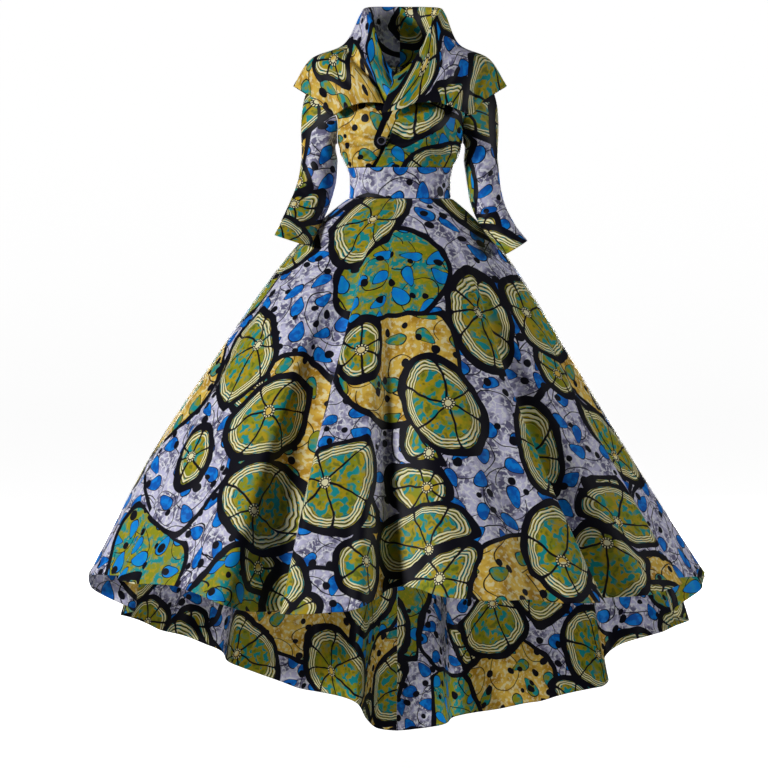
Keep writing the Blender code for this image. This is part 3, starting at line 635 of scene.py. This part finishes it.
HIP_FLARE, HIP_FLARE_DEPTH = 0.063, 0.082
SKIRT_SLOPE, LOW_SLOPE = 0.605, 0.31
LOW_SLOPE_FROM = 0.8
WAIST_CLEAR = 0.0008
SKIRT_SEAM = 0.00004  # between two panels, sewn edge to edge
SWAY, SWAY_HEIGHT = -0.014, 0.9
BILLOW = {"azimuth": -86.0, "width": 24.0, "drop": 0.53, "height": 0.17, "rise": 0.014}
HEM = [
    # azimuth, drop in metres
    (-180, 1.256), (-170, 1.18), (-157, 1.12), (-142, 1.043), (-122, 0.936), (-104, 0.88),
    (-90, 0.788), (-66, 0.769), (-44, 0.764), (-24, 0.802), (-10, 0.787), (4, 0.763), (22, 0.773),
    (42, 0.788), (66, 0.776), (90, 0.785), (104, 0.893), (118, 0.945), (128, 1), (138, 1.105),
    (148, 1.145), (160, 1.19), (170, 1.227),
]
FOLDS = [
    # azimuth, left, right, depth, over, lift, start: depth, lift and start in metres
    (-22.5, 12, 5.5, 0.128, 2.8, 0, 0.07), (-1, 6.5, 13, 0.088, 1, 0.014, 0.14),
    (26, 7, 7, 0.03, 0, 0, 0.24), (42, 4.5, 11, 0.07, -2.2, 0, 0.13), (-48, 8, 7, 0.022, 0, 0, 0.3),
    (-70, 11, 8, 0.046, 0, 0, 0.2), (71, 8, 11, 0.044, 0, 0, 0.22),
    (-105, 11, 8, 0.088, 2.4, 0, 0.2), (103, 7, 10, 0.078, -2.2, 0, 0.2),
    (131.5, 7, 8, 0.092, -2, 0.01, 0.16), (168, 8, 7, 0.098, 1.6, 0.02, 0.16),
    (-171, 7, 8, 0.098, -1.6, 0.02, 0.16), (-139, 9, 9, 0.082, 2, 0.008, 0.2),
]
FOLD_GROWTH = 1.08
RIM_SHARE, RIM_WIDTH = 0.75, 5.0
# Smaller troughs, - for ridges, that run down the skirt: how far round they drift on the way, where
# they start and end below the waist in metres, and their width and depth in millimetres.
SKIRT_CREASES = np.array([
    # azimuth, drift, start, end, width, depth
    (-82, -2, 0.3, 1.25, 30, 7.5), (-74, 2, 0.02, 0.3, 11, 2.2), (-56, -2, 0.28, 1.2, 26, 6.5),
    (-50, 1, 0.01, 0.24, 9, 2.4), (-43, 1, 0.4, 1.3, 22, 6), (-35, -1, 0.02, 0.34, 10, 2.8),
    (-28, 1, 0.06, 1.5, 36, 40), (-28, 2, 0.1, 0.52, 9, -2.2), (-18, -1, 0.16, 1.3, 13, -6),
    (-15, -1, 0.12, 0.62, 10, 2.6), (-10, 1, 0.38, 1.25, 17, 5.5), (-6, 0, 0.01, 0.2, 8, 2),
    (9, 1, 0.02, 0.38, 9, 2.4), (15, 1, 0.42, 1.3, 18, 6), (22, 1, 0.05, 0.44, 10, 2.4),
    (29, 2, 0.36, 1.2, 22, 7), (35, 1, 0.02, 0.26, 9, 2.4), (40, 1, 0.12, 1.4, 26, 17),
    (49, 1, 0.1, 0.5, 11, -2.4), (54, 2, 0.36, 1.25, 24, 7), (62, 0, 0.02, 0.3, 10, 2.2),
    (80, 1, 0.32, 1.25, 28, 7), (92, 1, 0.04, 0.4, 12, 2.4), (96, -2, 0.5, 1.6, 24, 8),
    (114, 2, 0.4, 1.7, 26, 9), (121, 1, 0.02, 0.34, 11, 2.6), (140, -1, 0.3, 1.6, 26, 8.5),
    (147, 1, 0.03, 0.42, 11, 2.8), (152, 2, 0.5, 1.9, 30, 10), (172, 1, 0.04, 0.36, 10, 2.6),
    (-176, -1, 0.6, 2, 26, 8), (-160, -2, 0.34, 1.8, 30, 9.5), (-152, 1, 0.03, 0.4, 12, 2.6),
    (-129, 1, 0.3, 1.6, 26, 8.5), (-120, -1, 0.04, 0.36, 11, 2.6), (-114, 2, 0.45, 1.6, 28, 9),
    (-97, -1, 0.05, 0.38, 12, 2.4),
]) / [1, 1, 1, 1, MM, MM]
SKIRT_ROWS = 96  # between the closer ones at the seam and the hem, given as shares of the drop
SEAM_ROWS = [0, 0.0015, 0.003, 0.005, 0.009]
HEM_ROWS = [0.983, 0.9865, 0.9885, 0.992, 0.996, 1.0]
PATTERN_RADIUS = 0.135  # of the waist seam on the flat circle
PATTERN_SWEEP = 2.15  # radians of the flat circle that the front takes, and the backs together


def away_from(azimuth, middle):
    return (azimuth - middle + 180) % 360 - 180


def valley(away, left, right):
    share = np.clip(np.where(away < 0, -away / left, away / right), 0, 1)
    return 0.5 + 0.5 * np.cos(math.pi * share)


def hem_drop(azimuth):
    drop = curve(HEM, 1, azimuth, 360)
    for middle, left, right, _, _, lift, _ in FOLDS:
        drop = drop - lift * valley(away_from(azimuth, middle), left, right)
    return drop


def flare(drop):
    low = np.maximum(drop - LOW_SLOPE_FROM, 0)
    hip = HIP_FLARE * (1 - np.exp(-drop / HIP_FLARE_DEPTH))
    return hip + SKIRT_SLOPE * (drop - low) + LOW_SLOPE * low


def waist_radius(azimuth):
    angle = np.radians(azimuth)
    side, front, back = (float(curve(TORSO, column, WAIST_Z)) for column in (1, 2, 3))
    depth = np.where(np.cos(angle) > 0, front, back)
    power = TORSO_SQUARENESS
    parts = np.abs(np.sin(angle) / side) ** power + np.abs(np.cos(angle) / depth) ** power
    return parts ** (-1 / power)


def skirt(azimuth, down):
    """Point of the skirt's surface: down runs from 0 at the waist seam to 1 at the hem."""
    drop = hem_drop(azimuth) * down
    away = away_from(azimuth, BILLOW["azimuth"]) / BILLOW["width"]
    round_it = np.exp(-(away**2) - ((drop - BILLOW["drop"]) / BILLOW["height"]) ** 2)
    radius = waist_radius(azimuth) + WAIST_CLEAR + flare(drop) + BILLOW["rise"] * round_it
    turned_by = np.radians(azimuth)
    for middle, left, right, depth, over, _, start in FOLDS:
        away = away_from(azimuth, middle)
        length = curve(HEM, 1, middle, 360) - start
        grown = np.clip((drop - start) / length, 0, None) ** FOLD_GROWTH
        radius = radius - depth * grown * valley(away, left, right)
        rim = RIM_SHARE * (right if over > 0 else -left)
        leaning = grown * valley(away - rim, RIM_WIDTH, RIM_WIDTH)
        turned_by = turned_by - math.radians(over) * leaning
    sway = SWAY * np.sin(math.pi * np.clip(drop / SWAY_HEIGHT, 0, 1))
    x, y = radius * np.sin(turned_by) + sway, -radius * np.cos(turned_by)
    return np.stack([x, y, WAIST_Z - drop], axis=-1)


def skirt_panel(half, node, start, end, count, shift):
    fine = np.linspace(start, end, 2001)
    along = lengths(skirt(fine, 1.0)[None], 1)[0]
    middle = (start + end) / 2
    across = edged(count, 3.0 / count)
    azimuth = np.interp(across * along[-1], along, fine)
    down = np.concatenate([SEAM_ROWS, np.linspace(0.016, 0.978, SKIRT_ROWS), HEM_ROWS])
    down = down + (1 - down) * SEAM_GAP
    radius = waist_radius(middle) + flare(curve(HEM, 1, middle) * down)
    gap = np.degrees(SKIRT_SEAM / 2 / radius)[:, None]
    grid = middle + (azimuth - middle) * (1 - 2 * gap / abs(end - start))
    points = skirt(grid, down[:, None])
    out = facing(points, points * (1, 1, 0))
    drop = WAIST_Z - points[..., 2]
    reach = norm(points[..., :2], axis=-1)
    moved = np.zeros(drop.shape)
    for at, drift, top, bottom, width, depth in SKIRT_CREASES:
        share = np.clip((drop - top) / (bottom - top), 0, 1)
        away = np.radians(away_from(grid, at + drift * share)) * reach
        moved += depth * np.sin(math.pi * share) * np.exp(-((away / width) ** 2))
    points = points - out * moved[..., None]
    slope = PATTERN_RADIUS + lengths(points, 0)
    turn = (across - 0.5) * (PATTERN_SWEEP * (end - start) / 180)
    flat = np.stack([slope * np.sin(turn), -slope * np.cos(turn)], axis=-1)
    name, band = f"skirt_{half}_cloth", [f"band_{half}_cloth"]
    sewn = ["first_column", "last_column", "first_row"]
    shell(name, node, points, out, flat, shift, sewn, ["last_row"])


for half, node, start, end, count, shift in (
    ("front", "skirt_front", -90, 90, 330, (0.5, 1.4, 0.0)),
    ("left", "skirt_back_left", 90, 180, 185, (3.1, 2.3, 0.4)),
    ("right", "skirt_back_right", -180, -90, 185, (5.2, 1.1, -0.5)),
):
    skirt_panel(half, node, start, end, count, shift)

# ======== sleeves
# Fitted three-quarter sleeves of the same cotton, each cut in one piece with a seam under the arm,
# set into the armhole. The cuffs are turned under and stitched.

# Rings of each arm, the wearer's right (-1) and left (1). The tilt is in degrees.
SLEEVE_RINGS = {
    -1: [
        # z, x, y, across, deep, tilt
        (-200, 168.5, 0, 38.5, 40, 2), (-239, 172.5, -2, 40, 39, 6), (-276, 182.5, -22, 40, 37, 16),
        (-312, 197, -56, 39.5, 35.5, 21), (-341, 209.5, -96, 39, 34.5, 22),
        (-367.5, 221, -132, 38.5, 34, 18),
    ],
    1: [
        (-200, 169, 0, 36.5, 41.5, 2), (-239, 173.5, 0, 35, 42.5, 5),
        (-280, 179.5, -20, 34.5, 42.5, 14), (-318, 193, -52, 32.5, 42, 26),
        (-351, 213.5, -86, 29.5, 41, 34), (-381, 238.5, -114, 26.2, 40, 32),
    ],
}
SLEEVE_SIDES = 96
CAP_SHARES = np.concatenate([[0, 0.008, 0.018, 0.034], np.linspace(0.055, 1, 30)])[:-1]
CUFF_SHARES = [0.945, 0.952, 0.96, 0.972, 0.986, 1]
CAP_LEAVE, CAP_ARRIVE = (0.62, -0.12), 0.85  # how the cap leaves the seam and meets the arm
# Across is the way round from the seam under the arm, front first; up is from the cuff.
SLEEVE_CREASES = np.array([
    # across1, up1, across2, up2, width, depth
    (22, 128, 88, 150, 7, 2.4), (18, 108, 84, 118, 6, 2.2), (26, 120, 80, 134, 5, -1.4),
    (20, 90, 74, 86, 6, 1.8), (16, 150, 70, 182, 7.5, 2), (14, 186, 62, 228, 8.5, 2.4),
    (20, 206, 72, 262, 8, 2), (110, 200, 128, 270, 8.5, 1.4), (232, 186, 180, 232, 8.5, 2.2),
    (228, 140, 166, 128, 7, 2), (226, 112, 176, 98, 6.5, 1.8), (112, 30, 96, 84, 7, 1.3),
    (46, 16, 66, 60, 6.5, 1.4), (200, 22, 186, 70, 6.5, 1.3),
]) / MM


def along_spline(stations, values, at):
    """Catmull-Rom curve through values (..., n) at the stations, read at each value of at."""
    slopes = np.gradient(values, stations, axis=-1)
    at = np.clip(at, 0, 1)
    i = np.clip(np.searchsorted(stations, at, side="right") - 1, 0, len(stations) - 2)
    wide = stations[i + 1] - stations[i]
    s = (at - stations[i]) / wide

    def pick(array, index):
        return np.take_along_axis(array, index[..., None], axis=-1)[..., 0]

    ends = pick(values, i), pick(values, i + 1)
    return cubic(*ends, pick(slopes, i) * wide, pick(slopes, i + 1) * wide, s)


def sleeve_piece(half, side, shift):
    """Its rings start under the arm and go up the front and down the back."""
    turn = np.linspace(0, 2 * math.pi, SLEEVE_SIDES, endpoint=False)
    z = ARMPIT_Z + (SHOULDER_Z - ARMPIT_Z) * (0.5 - 0.5 * np.cos(turn))
    seam = torso(np.where(turn < math.pi, 90 - armhole_cut(z), 90 + armhole_cut(z)), z)
    seam[:, 0] += 2.5 * SEAM_GAP
    seam = seam * (side, 1, 1)
    rings = []
    for z, x, y, across, deep, tilt in np.array(SLEEVE_RINGS[side]) / ([MM] * 5 + [1]):
        lean = math.radians(tilt)
        over = -across * np.cos(turn)
        out_x, out_z = x + over * math.cos(lean), z + over * math.sin(lean)
        rings.append(np.stack([side * out_x, y - deep * np.sin(turn), out_z], axis=-1))
    values = np.moveaxis(np.array(rings), 0, -1)
    stations = np.linspace(0, 1, len(rings))
    shares = np.concatenate([np.linspace(0, 0.93, 66), CUFF_SHARES])
    arm = np.array([along_spline(stations, values, np.full(values.shape[:-1], a)) for a in shares])
    reach = norm(arm[0] - seam, axis=-1, keepdims=True)
    leave = reach * (side * CAP_LEAVE[0], 0, CAP_LEAVE[1])
    arrive = reach * (0, 0, -CAP_ARRIVE)
    cap = cubic(seam, arm[0], leave, arrive, CAP_SHARES[:, None, None])
    points = np.concatenate([cap, arm])
    middles = points.mean(axis=1, keepdims=True)
    out = facing(points, points - middles, wrap=True)
    closed = np.concatenate([points, points[:, :1]], axis=1)
    up = lengths(closed, 0)[-1:] - lengths(closed, 0)
    flat = np.stack([lengths(closed, 1), up], axis=-1)
    points = creased(points, out, flat, SLEEVE_CREASES)
    under_arm = np.minimum(flat[:, :-1, 0], flat[:, -1:, 0] - flat[:, :-1, 0])
    points = turned_in(points, out, ["first_row"], under_arm)
    name, node = f"sleeve_{half}_cloth", f"sleeve_{half}"
    shell(name, node, points, out, flat, shift, (), ["last_row"], wrap=True)


sleeve_piece("right", -1, (4.4, 0.3, 0.2))
sleeve_piece("left", 1, (1.2, 3.2, -0.1))

# ======== collar
# A tall roll collar, cut double and softly interfaced. It stands round the neck, rolls over and
# falls to a wide edge on the shoulders, and its front ends cross with the fronts.

COLLAR = np.array([
    # azimuth, roll r, roll z, base r, base z, mid r, mid z, edge r, edge z
    (-16, 114.5, -38, 126.5, -60, 136, -80, 144.5, -107),
    (0, 102, -20, 115, -45, 126.5, -67, 142.5, -98),
    (15, 89, 0, 106, -22, 121, -51, 139, -85),
    (30, 83, 28, 106, 1, 128, -40, 147, -84),
    (44, 79, 55, 107, 20, 141, -32, 164, -96),
    (54, 77, 74, 109, 30, 151, -20, 176, -108),
    (66, 79, 94, 113, 38, 166, -4, 189, -78),
    (78, 83, 106, 118, 43, 181, 7, 208, -57),
    (90, 87, 113, 121, 45, 188, 10, 223, -45),
    (102, 88, 118, 121, 46, 182, 8, 210, -55),
    (118, 87, 122, 117, 46, 163, -5, 190, -80),
    (132, 86, 124, 112, 46, 148, -18, 173, -104),
    (150, 85, 126, 104, 44, 128, -32, 146, -118),
    (180, 84, 127, 99, 42, 118, -38, 132, -125),
]) / ([1] + [MM] * 8)
UPPER_END = (-2.0, -15.5)
LOWER_END = (-11.5, 0.0)
# How far out and up the lower half moves at each station, to nest under the upper one.
NEST = np.array([(0, 0), (-2, -8), (-3, -10), (-4, -6), (-6.5, -5), (-6.5, 0), (-6.5, 0)]) / MM
NEST_FULL, NEST_GONE = 16.0, 30.0
RIGHT_ROLL_NARROWER = 0.012
ROLL_WIDTH = 0.0085
TALL_STAND = 0.05
COLLAR_BACK = 179.99
COLLAR_STATIONS = np.array([0, 0.22, 0.3, 0.38, 0.56, 0.8, 1.0])
COLLAR_SWEEP, COLLAR_RADIUS = 1.45, 0.12  # radians and inner radius of a half's flat pattern
COLLAR_FALL = 0.7  # the part of it that lies flattest, where the pattern's arc is measured
DOUBLE_CLOTH = 0.0016  # two layers of cotton, and the interfacing
# Bent folds of each half as seen from the front: width and depth, - for a ridge, then the across
# and up of each stop. The wearer's right half lies in two layers, a valley under the upper one.
COLLAR_FOLDS = {
    -1: [
        # width, depth, stops
        (7, 10, (-116, 40), (-88, 0), (-48, -42), (-30, -80)),
        (10.5, -6, (-98, 44), (-72, 8), (-34, -32), (-18, -66)),
        (11, 7, (-176, -30), (-147, -64), (-130, -104)),
        (8, 2.6, (-150, 10), (-112, -36), (-74, -82)),
        (10, -2.2, (-134, 20), (-98, -22), (-58, -66)),
    ],
    1: [
        (11, 7.4, (172, -14), (158, -54), (146, -92)),
        (8, 5.2, (118, 38), (86, -6), (40, -30)),
        (10.5, -4, (128, 24), (96, -22), (52, -48)),
        (8, 2.6, (134, -4), (104, -50), (86, -90)),
    ],
}
FALL_FROM, FALL_FULL = 0.36, 0.46  # where the part of the collar that falls outside begins


def collar(side, azimuth, share):
    """Point of the collar's face: share is 0 at the neck and 1 at the edge, over the roll."""
    azimuth, share = np.broadcast_arrays(azimuth, share)
    roll_r, roll_z, base_r, base_z, mid_r, mid_z, edge_r, edge_z = (
        curve(COLLAR, column, azimuth) for column in range(1, 9)
    )
    if side < 0:
        narrow = RIGHT_ROLL_NARROWER * ease((azimuth - 20) / 50) * ease((165 - azimuth) / 50)
        roll_r = roll_r - narrow
        base_r = base_r - narrow * 0.5
    front = np.clip(np.cos(np.radians(azimuth)), 0, 1)
    neck = torso(azimuth, NECK_TOP_Z - NECK_DROP * front**NECK_CURVE)
    neck_r, neck_z = norm(neck[..., :2], axis=-1), neck[..., 2] + 2 * SEAM_GAP
    rise = roll_z - neck_z
    tall = ease(rise / TALL_STAND)
    inner_r = roll_r - ROLL_WIDTH * (1.2 - 0.45 * tall)
    inner_z = roll_z - np.minimum(ROLL_WIDTH * 1.45, rise * 0.45)
    outer_r = roll_r + ROLL_WIDTH * (0.75 + 0.25 * tall)
    outer_z = roll_z - ROLL_WIDTH * (0.5 + 0.95 * tall)
    radii = np.stack([neck_r, inner_r, roll_r, outer_r, base_r, mid_r, edge_r], axis=-1)
    heights = np.stack([neck_z, inner_z, roll_z, outer_z, base_z, mid_z, edge_z], axis=-1)
    if side < 0:
        nest = 1 - ease((azimuth[..., None] - NEST_FULL) / (NEST_GONE - NEST_FULL))
        radii, heights = radii + nest * NEST[:, 0], heights + nest * NEST[:, 1]
    radius = along_spline(COLLAR_STATIONS, radii, share)
    height = along_spline(COLLAR_STATIONS, heights, share)
    angle = np.radians(azimuth)
    return np.stack([side * radius * np.sin(angle), -radius * np.cos(angle), height], axis=-1)


def folded(points, out, folds, amount):
    """Troughs and ridges along bent lines, given as seen from the front, on the collar's front."""
    seen = points[..., [0, 2]]
    moved = np.zeros(points.shape[:2])
    for width, depth, *stops in folds:
        stops = np.array(stops) / MM
        nearest = np.full(moved.shape, np.inf)
        share = np.zeros(moved.shape)
        for k in range(len(stops) - 1):
            start, run = stops[k], stops[k + 1] - stops[k]
            held = np.clip(((seen - start) @ run) / (run @ run), 0, 1)
            away = norm(seen - start - held[..., None] * run, axis=-1)
            share = np.where(away < nearest, (k + held) / (len(stops) - 1), share)
            nearest = np.minimum(nearest, away)
        moved += depth / MM * tapered(share) * np.exp(-((nearest * MM / width) ** 2))
    front = ease(-points[..., 1] / 0.04)
    return points - out * (moved * front * amount)[..., None]


def collar_piece(half, side, ends, shift):
    share = np.concatenate(
        [np.linspace(0, 0.16, 12), np.linspace(0.17, 0.42, 34), np.linspace(0.44, 0.94, 32),
         [0.952, 0.96, 0.968, 0.98, 0.99, 1]]
    )
    across = np.linspace(0, 1, 201)
    start = side * (ends[0] + (ends[1] - ends[0]) * share)
    azimuth = spaced(start, COLLAR_BACK, across)
    points = collar(side, azimuth, share[:, None])
    away = points * (1, 1, 0)
    away[:-20] = 0  # the last rows fall outside, so they tell which way is out
    out = facing(points, away)
    fine = np.linspace(COLLAR[0][0], COLLAR_BACK, 600)
    round_it = lengths(collar(side, fine, COLLAR_FALL)[None], 1)[0]
    turn = side * COLLAR_SWEEP * (1 - np.interp(azimuth, fine, round_it) / round_it[-1])
    slope = COLLAR_RADIUS + lengths(points, 0)
    flat = np.stack([-slope * np.sin(turn), slope * np.cos(turn)], axis=-1)
    fall = ease((share - FALL_FROM) / (FALL_FULL - FALL_FROM))[:, None]
    points = folded(points, out, COLLAR_FOLDS[side], fall)
    under, turned = [f"front_{half}_cloth"], ["last_row", "first_column"]
    name, node = f"collar_{half}_cloth", f"collar_{half}"
    shell(name, node, points, out, flat, shift, (), turned, thick=DOUBLE_CLOTH)


collar_piece("left", 1, UPPER_END, (2.2, 4.1, 0.3))
collar_piece("right", -1, LOWER_END, (0.9, 5.0, -0.2))

# ======== tab
# A narrow strip of the same cotton, folded double and pressed, that runs down the lap from under
# the collar to the button.

TAB = {"top": (-0.004, -0.092), "bottom": (-0.0405, -0.168), "half_width": 0.0062, "cloth": 0.0016}
TAB_WALL = 0.001
TAB_TIP = 0.12  # how blunt its end is
TAB_DOME, TAB_LIFT = 0.0005, 0.0008  # its middle over its sides, and its sides over the lap


def on_front(x, z):
    """Point and normal on the outer face of the closed fronts."""
    step = 5e-4
    azimuth = azimuth_at(x, z)
    point = torso(azimuth, z)
    found = np.cross(torso(azimuth + step, z) - torso(azimuth - step, z),
                     torso(azimuth, z + step) - torso(azimuth, z - step))
    found /= norm(found, axis=-1, keepdims=True)
    return point, found * np.where(found[..., 1:2] < 0, 1, -1)


top, bottom = np.array(TAB["top"]), np.array(TAB["bottom"])
length = norm(bottom - top)
along = (bottom - top) / length
across = np.array([along[1], -along[0]])
share = np.concatenate([np.linspace(0, 0.9, 60), np.linspace(0.908, 1, 12)])
to_end = np.clip((1 - share) * length / TAB["half_width"], TAB_TIP, 1)
width = TAB["half_width"] * np.sqrt(1 - (1 - to_end) ** 2)
sides = np.linspace(-1, 1, 25)
flat = np.stack([width[:, None] * sides, share[:, None] * length + 0 * sides], axis=-1)
place = top + flat[..., 1:] * along + flat[..., :1] * across
points, out = on_front(place[..., 0], place[..., 1])
dome = TAB_DOME * (1 - sides**2) ** 0.5 - TAB_DOME
points = points + out * (TAB_LIFT + TAB["cloth"] + dome[:, None])
under, shift = ["front_left_cloth"], (1.66, 1.04, 0.3)
shell("tab_cloth", "closure_tab", points, out, flat, shift, thick=TAB_WALL)

# ======== button
# A black two-part button, turned with a raised rim and a shallow well and polished; a paler ring on
# its rim is a painted highlight, where the rim catches the light. It is sewn to the end of the tab.

BUTTON = {"x": -0.0386, "z": -0.16, "radius": 0.0095, "rim": 0.004}
# radii of the ring on the rim that is painted paler, a painted highlight
GLINT_RING_FROM, GLINT_RING_TO = 0.0071, 0.0093
BUTTON_GAPS = 3


bpy.ops.mesh.primitive_cylinder_add(vertices=72, radius=BUTTON["radius"], depth=BUTTON["rim"])
piece = bpy.context.object
piece.name = "button_black_part"
bpy.ops.object.mode_set(mode="EDIT")
bpy.ops.mesh.select_all(action="DESELECT")
work = bmesh.from_edit_mesh(piece.data)
work.faces.ensure_lookup_table()
for face in work.faces:
    face.select = face.normal.z > 0.9
bmesh.update_edit_mesh(piece.data)
for inset, drop in ((0.0021, 0.0), (0.0006, -0.0016), (0.003, 0.0), (0.0006, 0.0005)):
    bpy.ops.mesh.inset(thickness=inset, depth=0)
    if drop:
        bpy.ops.transform.translate(value=(0, 0, drop))
bpy.ops.object.mode_set(mode="OBJECT")
soft = piece.modifiers.new("soft_edges", "BEVEL")
soft.width, soft.segments, soft.limit_method = 0.0005, 4, "ANGLE"
bpy.ops.object.modifier_apply(modifier="soft_edges")
piece.data.shade_smooth()
# mark the ring of the rim that gets the painted highlight
painted_glint = piece.data.attributes.new("painted_glint", "FLOAT", "POINT")
reach = [math.hypot(v.co.x, v.co.y) for v in piece.data.vertices]
painted_glint.data.foreach_set("value", [float(GLINT_RING_FROM < r < GLINT_RING_TO) for r in reach])
point, out = on_front(np.array([BUTTON["x"]]), np.array([BUTTON["z"]]))
stand = TAB["cloth"] + BUTTON_GAPS * SEAM_GAP + BUTTON["rim"] / 2
turn = Vector(out[0]).to_track_quat("Z", "Y").to_matrix().to_4x4()
piece.data.transform(Matrix.Translation(Vector(point[0] + out[0] * stand)) @ turn)
constants = {"Roughness": 0.22, "Coat Weight": 0.5}
made, shader, face = new_material("black_gloss", constants)
# painted highlight: the ring on the rim is painted a pale grey over the black
rim = face.node("Attribute", {"attribute_name": "painted_glint"}, {}, "Fac")
rim.paint(srgb(16, 15, 20), srgb(104, 104, 124)).feed(shader, "Base Color")
piece.data.materials.clear()
piece.data.materials.append(made)
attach(piece, "root")
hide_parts("front_button")

# ======== studio
# A plain pale floor and backdrop, and plain pale soft light, strongest from the upper left in
# front. A small lamp under the front hem lights the inside of the back.

FLOOR_Z = -1.56
# Profile of the round paper cove: how far out and how high above the floor.
COVE = np.array([
    (0, 0), (6, 0), (12, 0), (14.6, 0.2), (16.4, 0.9), (17.6, 2.2), (18.2, 4.2), (18.4, 9),
])
COVE_SIDES, COVE_ROWS = 96, 70


# Floor and wall in one round sheet, so that every side has the same plain background.
turn = np.linspace(0, 2 * math.pi, COVE_SIDES, endpoint=False)
at = np.linspace(0, 1, COVE_ROWS + 1)[1:]
ways = np.linspace(0, 1, len(COVE))
reach, height = (along_spline(ways, np.tile(line, (COVE_ROWS, 1)), at) for line in COVE.T)
points = [(0, 0, FLOOR_Z)]
for r, h in zip(reach, height):
    points += [(r * math.sin(a), r * math.cos(a), FLOOR_Z + h) for a in turn]
faces = [(0, 1 + i, 1 + (i + 1) % COVE_SIDES) for i in range(COVE_SIDES)]
for low in range(1, len(points) - COVE_SIDES, COVE_SIDES):
    high = low + COVE_SIDES
    for i in range(COVE_SIDES):
        j = (i + 1) % COVE_SIDES
        faces.append((low + i, high + i, high + j, low + j))
mesh = bpy.data.meshes.new("paper_cove")
mesh.from_pydata(points, [], faces)
mesh.shade_smooth()
constants = {"Base Color": (0.9, 0.9, 0.9, 1), "Roughness": 0.9, "Emission Strength": 1.0}
pale, shader, wire = new_material("pale_paper", constants)
x, y = wire.node("TexCoord", {}, {}, "Object").split()
lit = oval(x, y, 1.0, 1.0).rise(1.5, 6.5).paint((0.62, 0.62, 0.62, 1), (0.92, 0.92, 0.92, 1))
lit.feed(shader, "Emission Color")
mesh.materials.append(pale)
paper = in_scene("paper_cove", mesh)
paper.visible_diffuse = paper.visible_glossy = False

world = bpy.data.worlds.new("pale_room")
bpy.context.scene.world = world
world.use_nodes = True
room = world.node_tree.nodes["Background"].inputs
room["Color"].default_value = (1, 1, 1, 1)
room["Strength"].default_value = 0.04


def soft_light(name, place, size, power, aim=(0, 0, -0.7)):
    lamp = bpy.data.lights.new(name, "AREA")
    lamp.shape, lamp.size, lamp.energy = "DISK", size, power
    held = in_scene(name, lamp)
    held.location = place
    held.rotation_euler = (Vector(aim) - Vector(place)).to_track_quat("-Z", "Y").to_euler()
    held.visible_camera = False


soft_light("key", (-5.2, -3.7, 0.8), 1.1, 290)
soft_light("side", (5.8, -1.2, 0.4), 1.8, 118)
soft_light("back", (1.4, 6.2, -0.4), 1.4, 190)
soft_light("back_fill", (-1.8, 6.2, -0.2), 2.0, 110)
soft_light("under_hem", (0.14, -0.42, -1.46), 0.7, 3.8, aim=(0.08, 0.7, -1.1))

TARGET = Vector((-0.0336, 0.0, -0.6678))
CAMERA_AWAY, CAMERA_UP = 6.0, math.radians(3)
SEEN_WIDTH = 1.6128
lens = bpy.data.cameras.new("front_view")
lens.angle = 2 * math.atan(SEEN_WIDTH / 2 / CAMERA_AWAY)
camera = in_scene("front_view", lens)
camera.location = TARGET + CAMERA_AWAY * Vector((0, -math.cos(CAMERA_UP), math.sin(CAMERA_UP)))
camera.rotation_euler = (TARGET - camera.location).to_track_quat("-Z", "Y").to_euler()
bpy.context.scene.camera = camera
bpy.context.scene.view_settings.view_transform = "Standard"
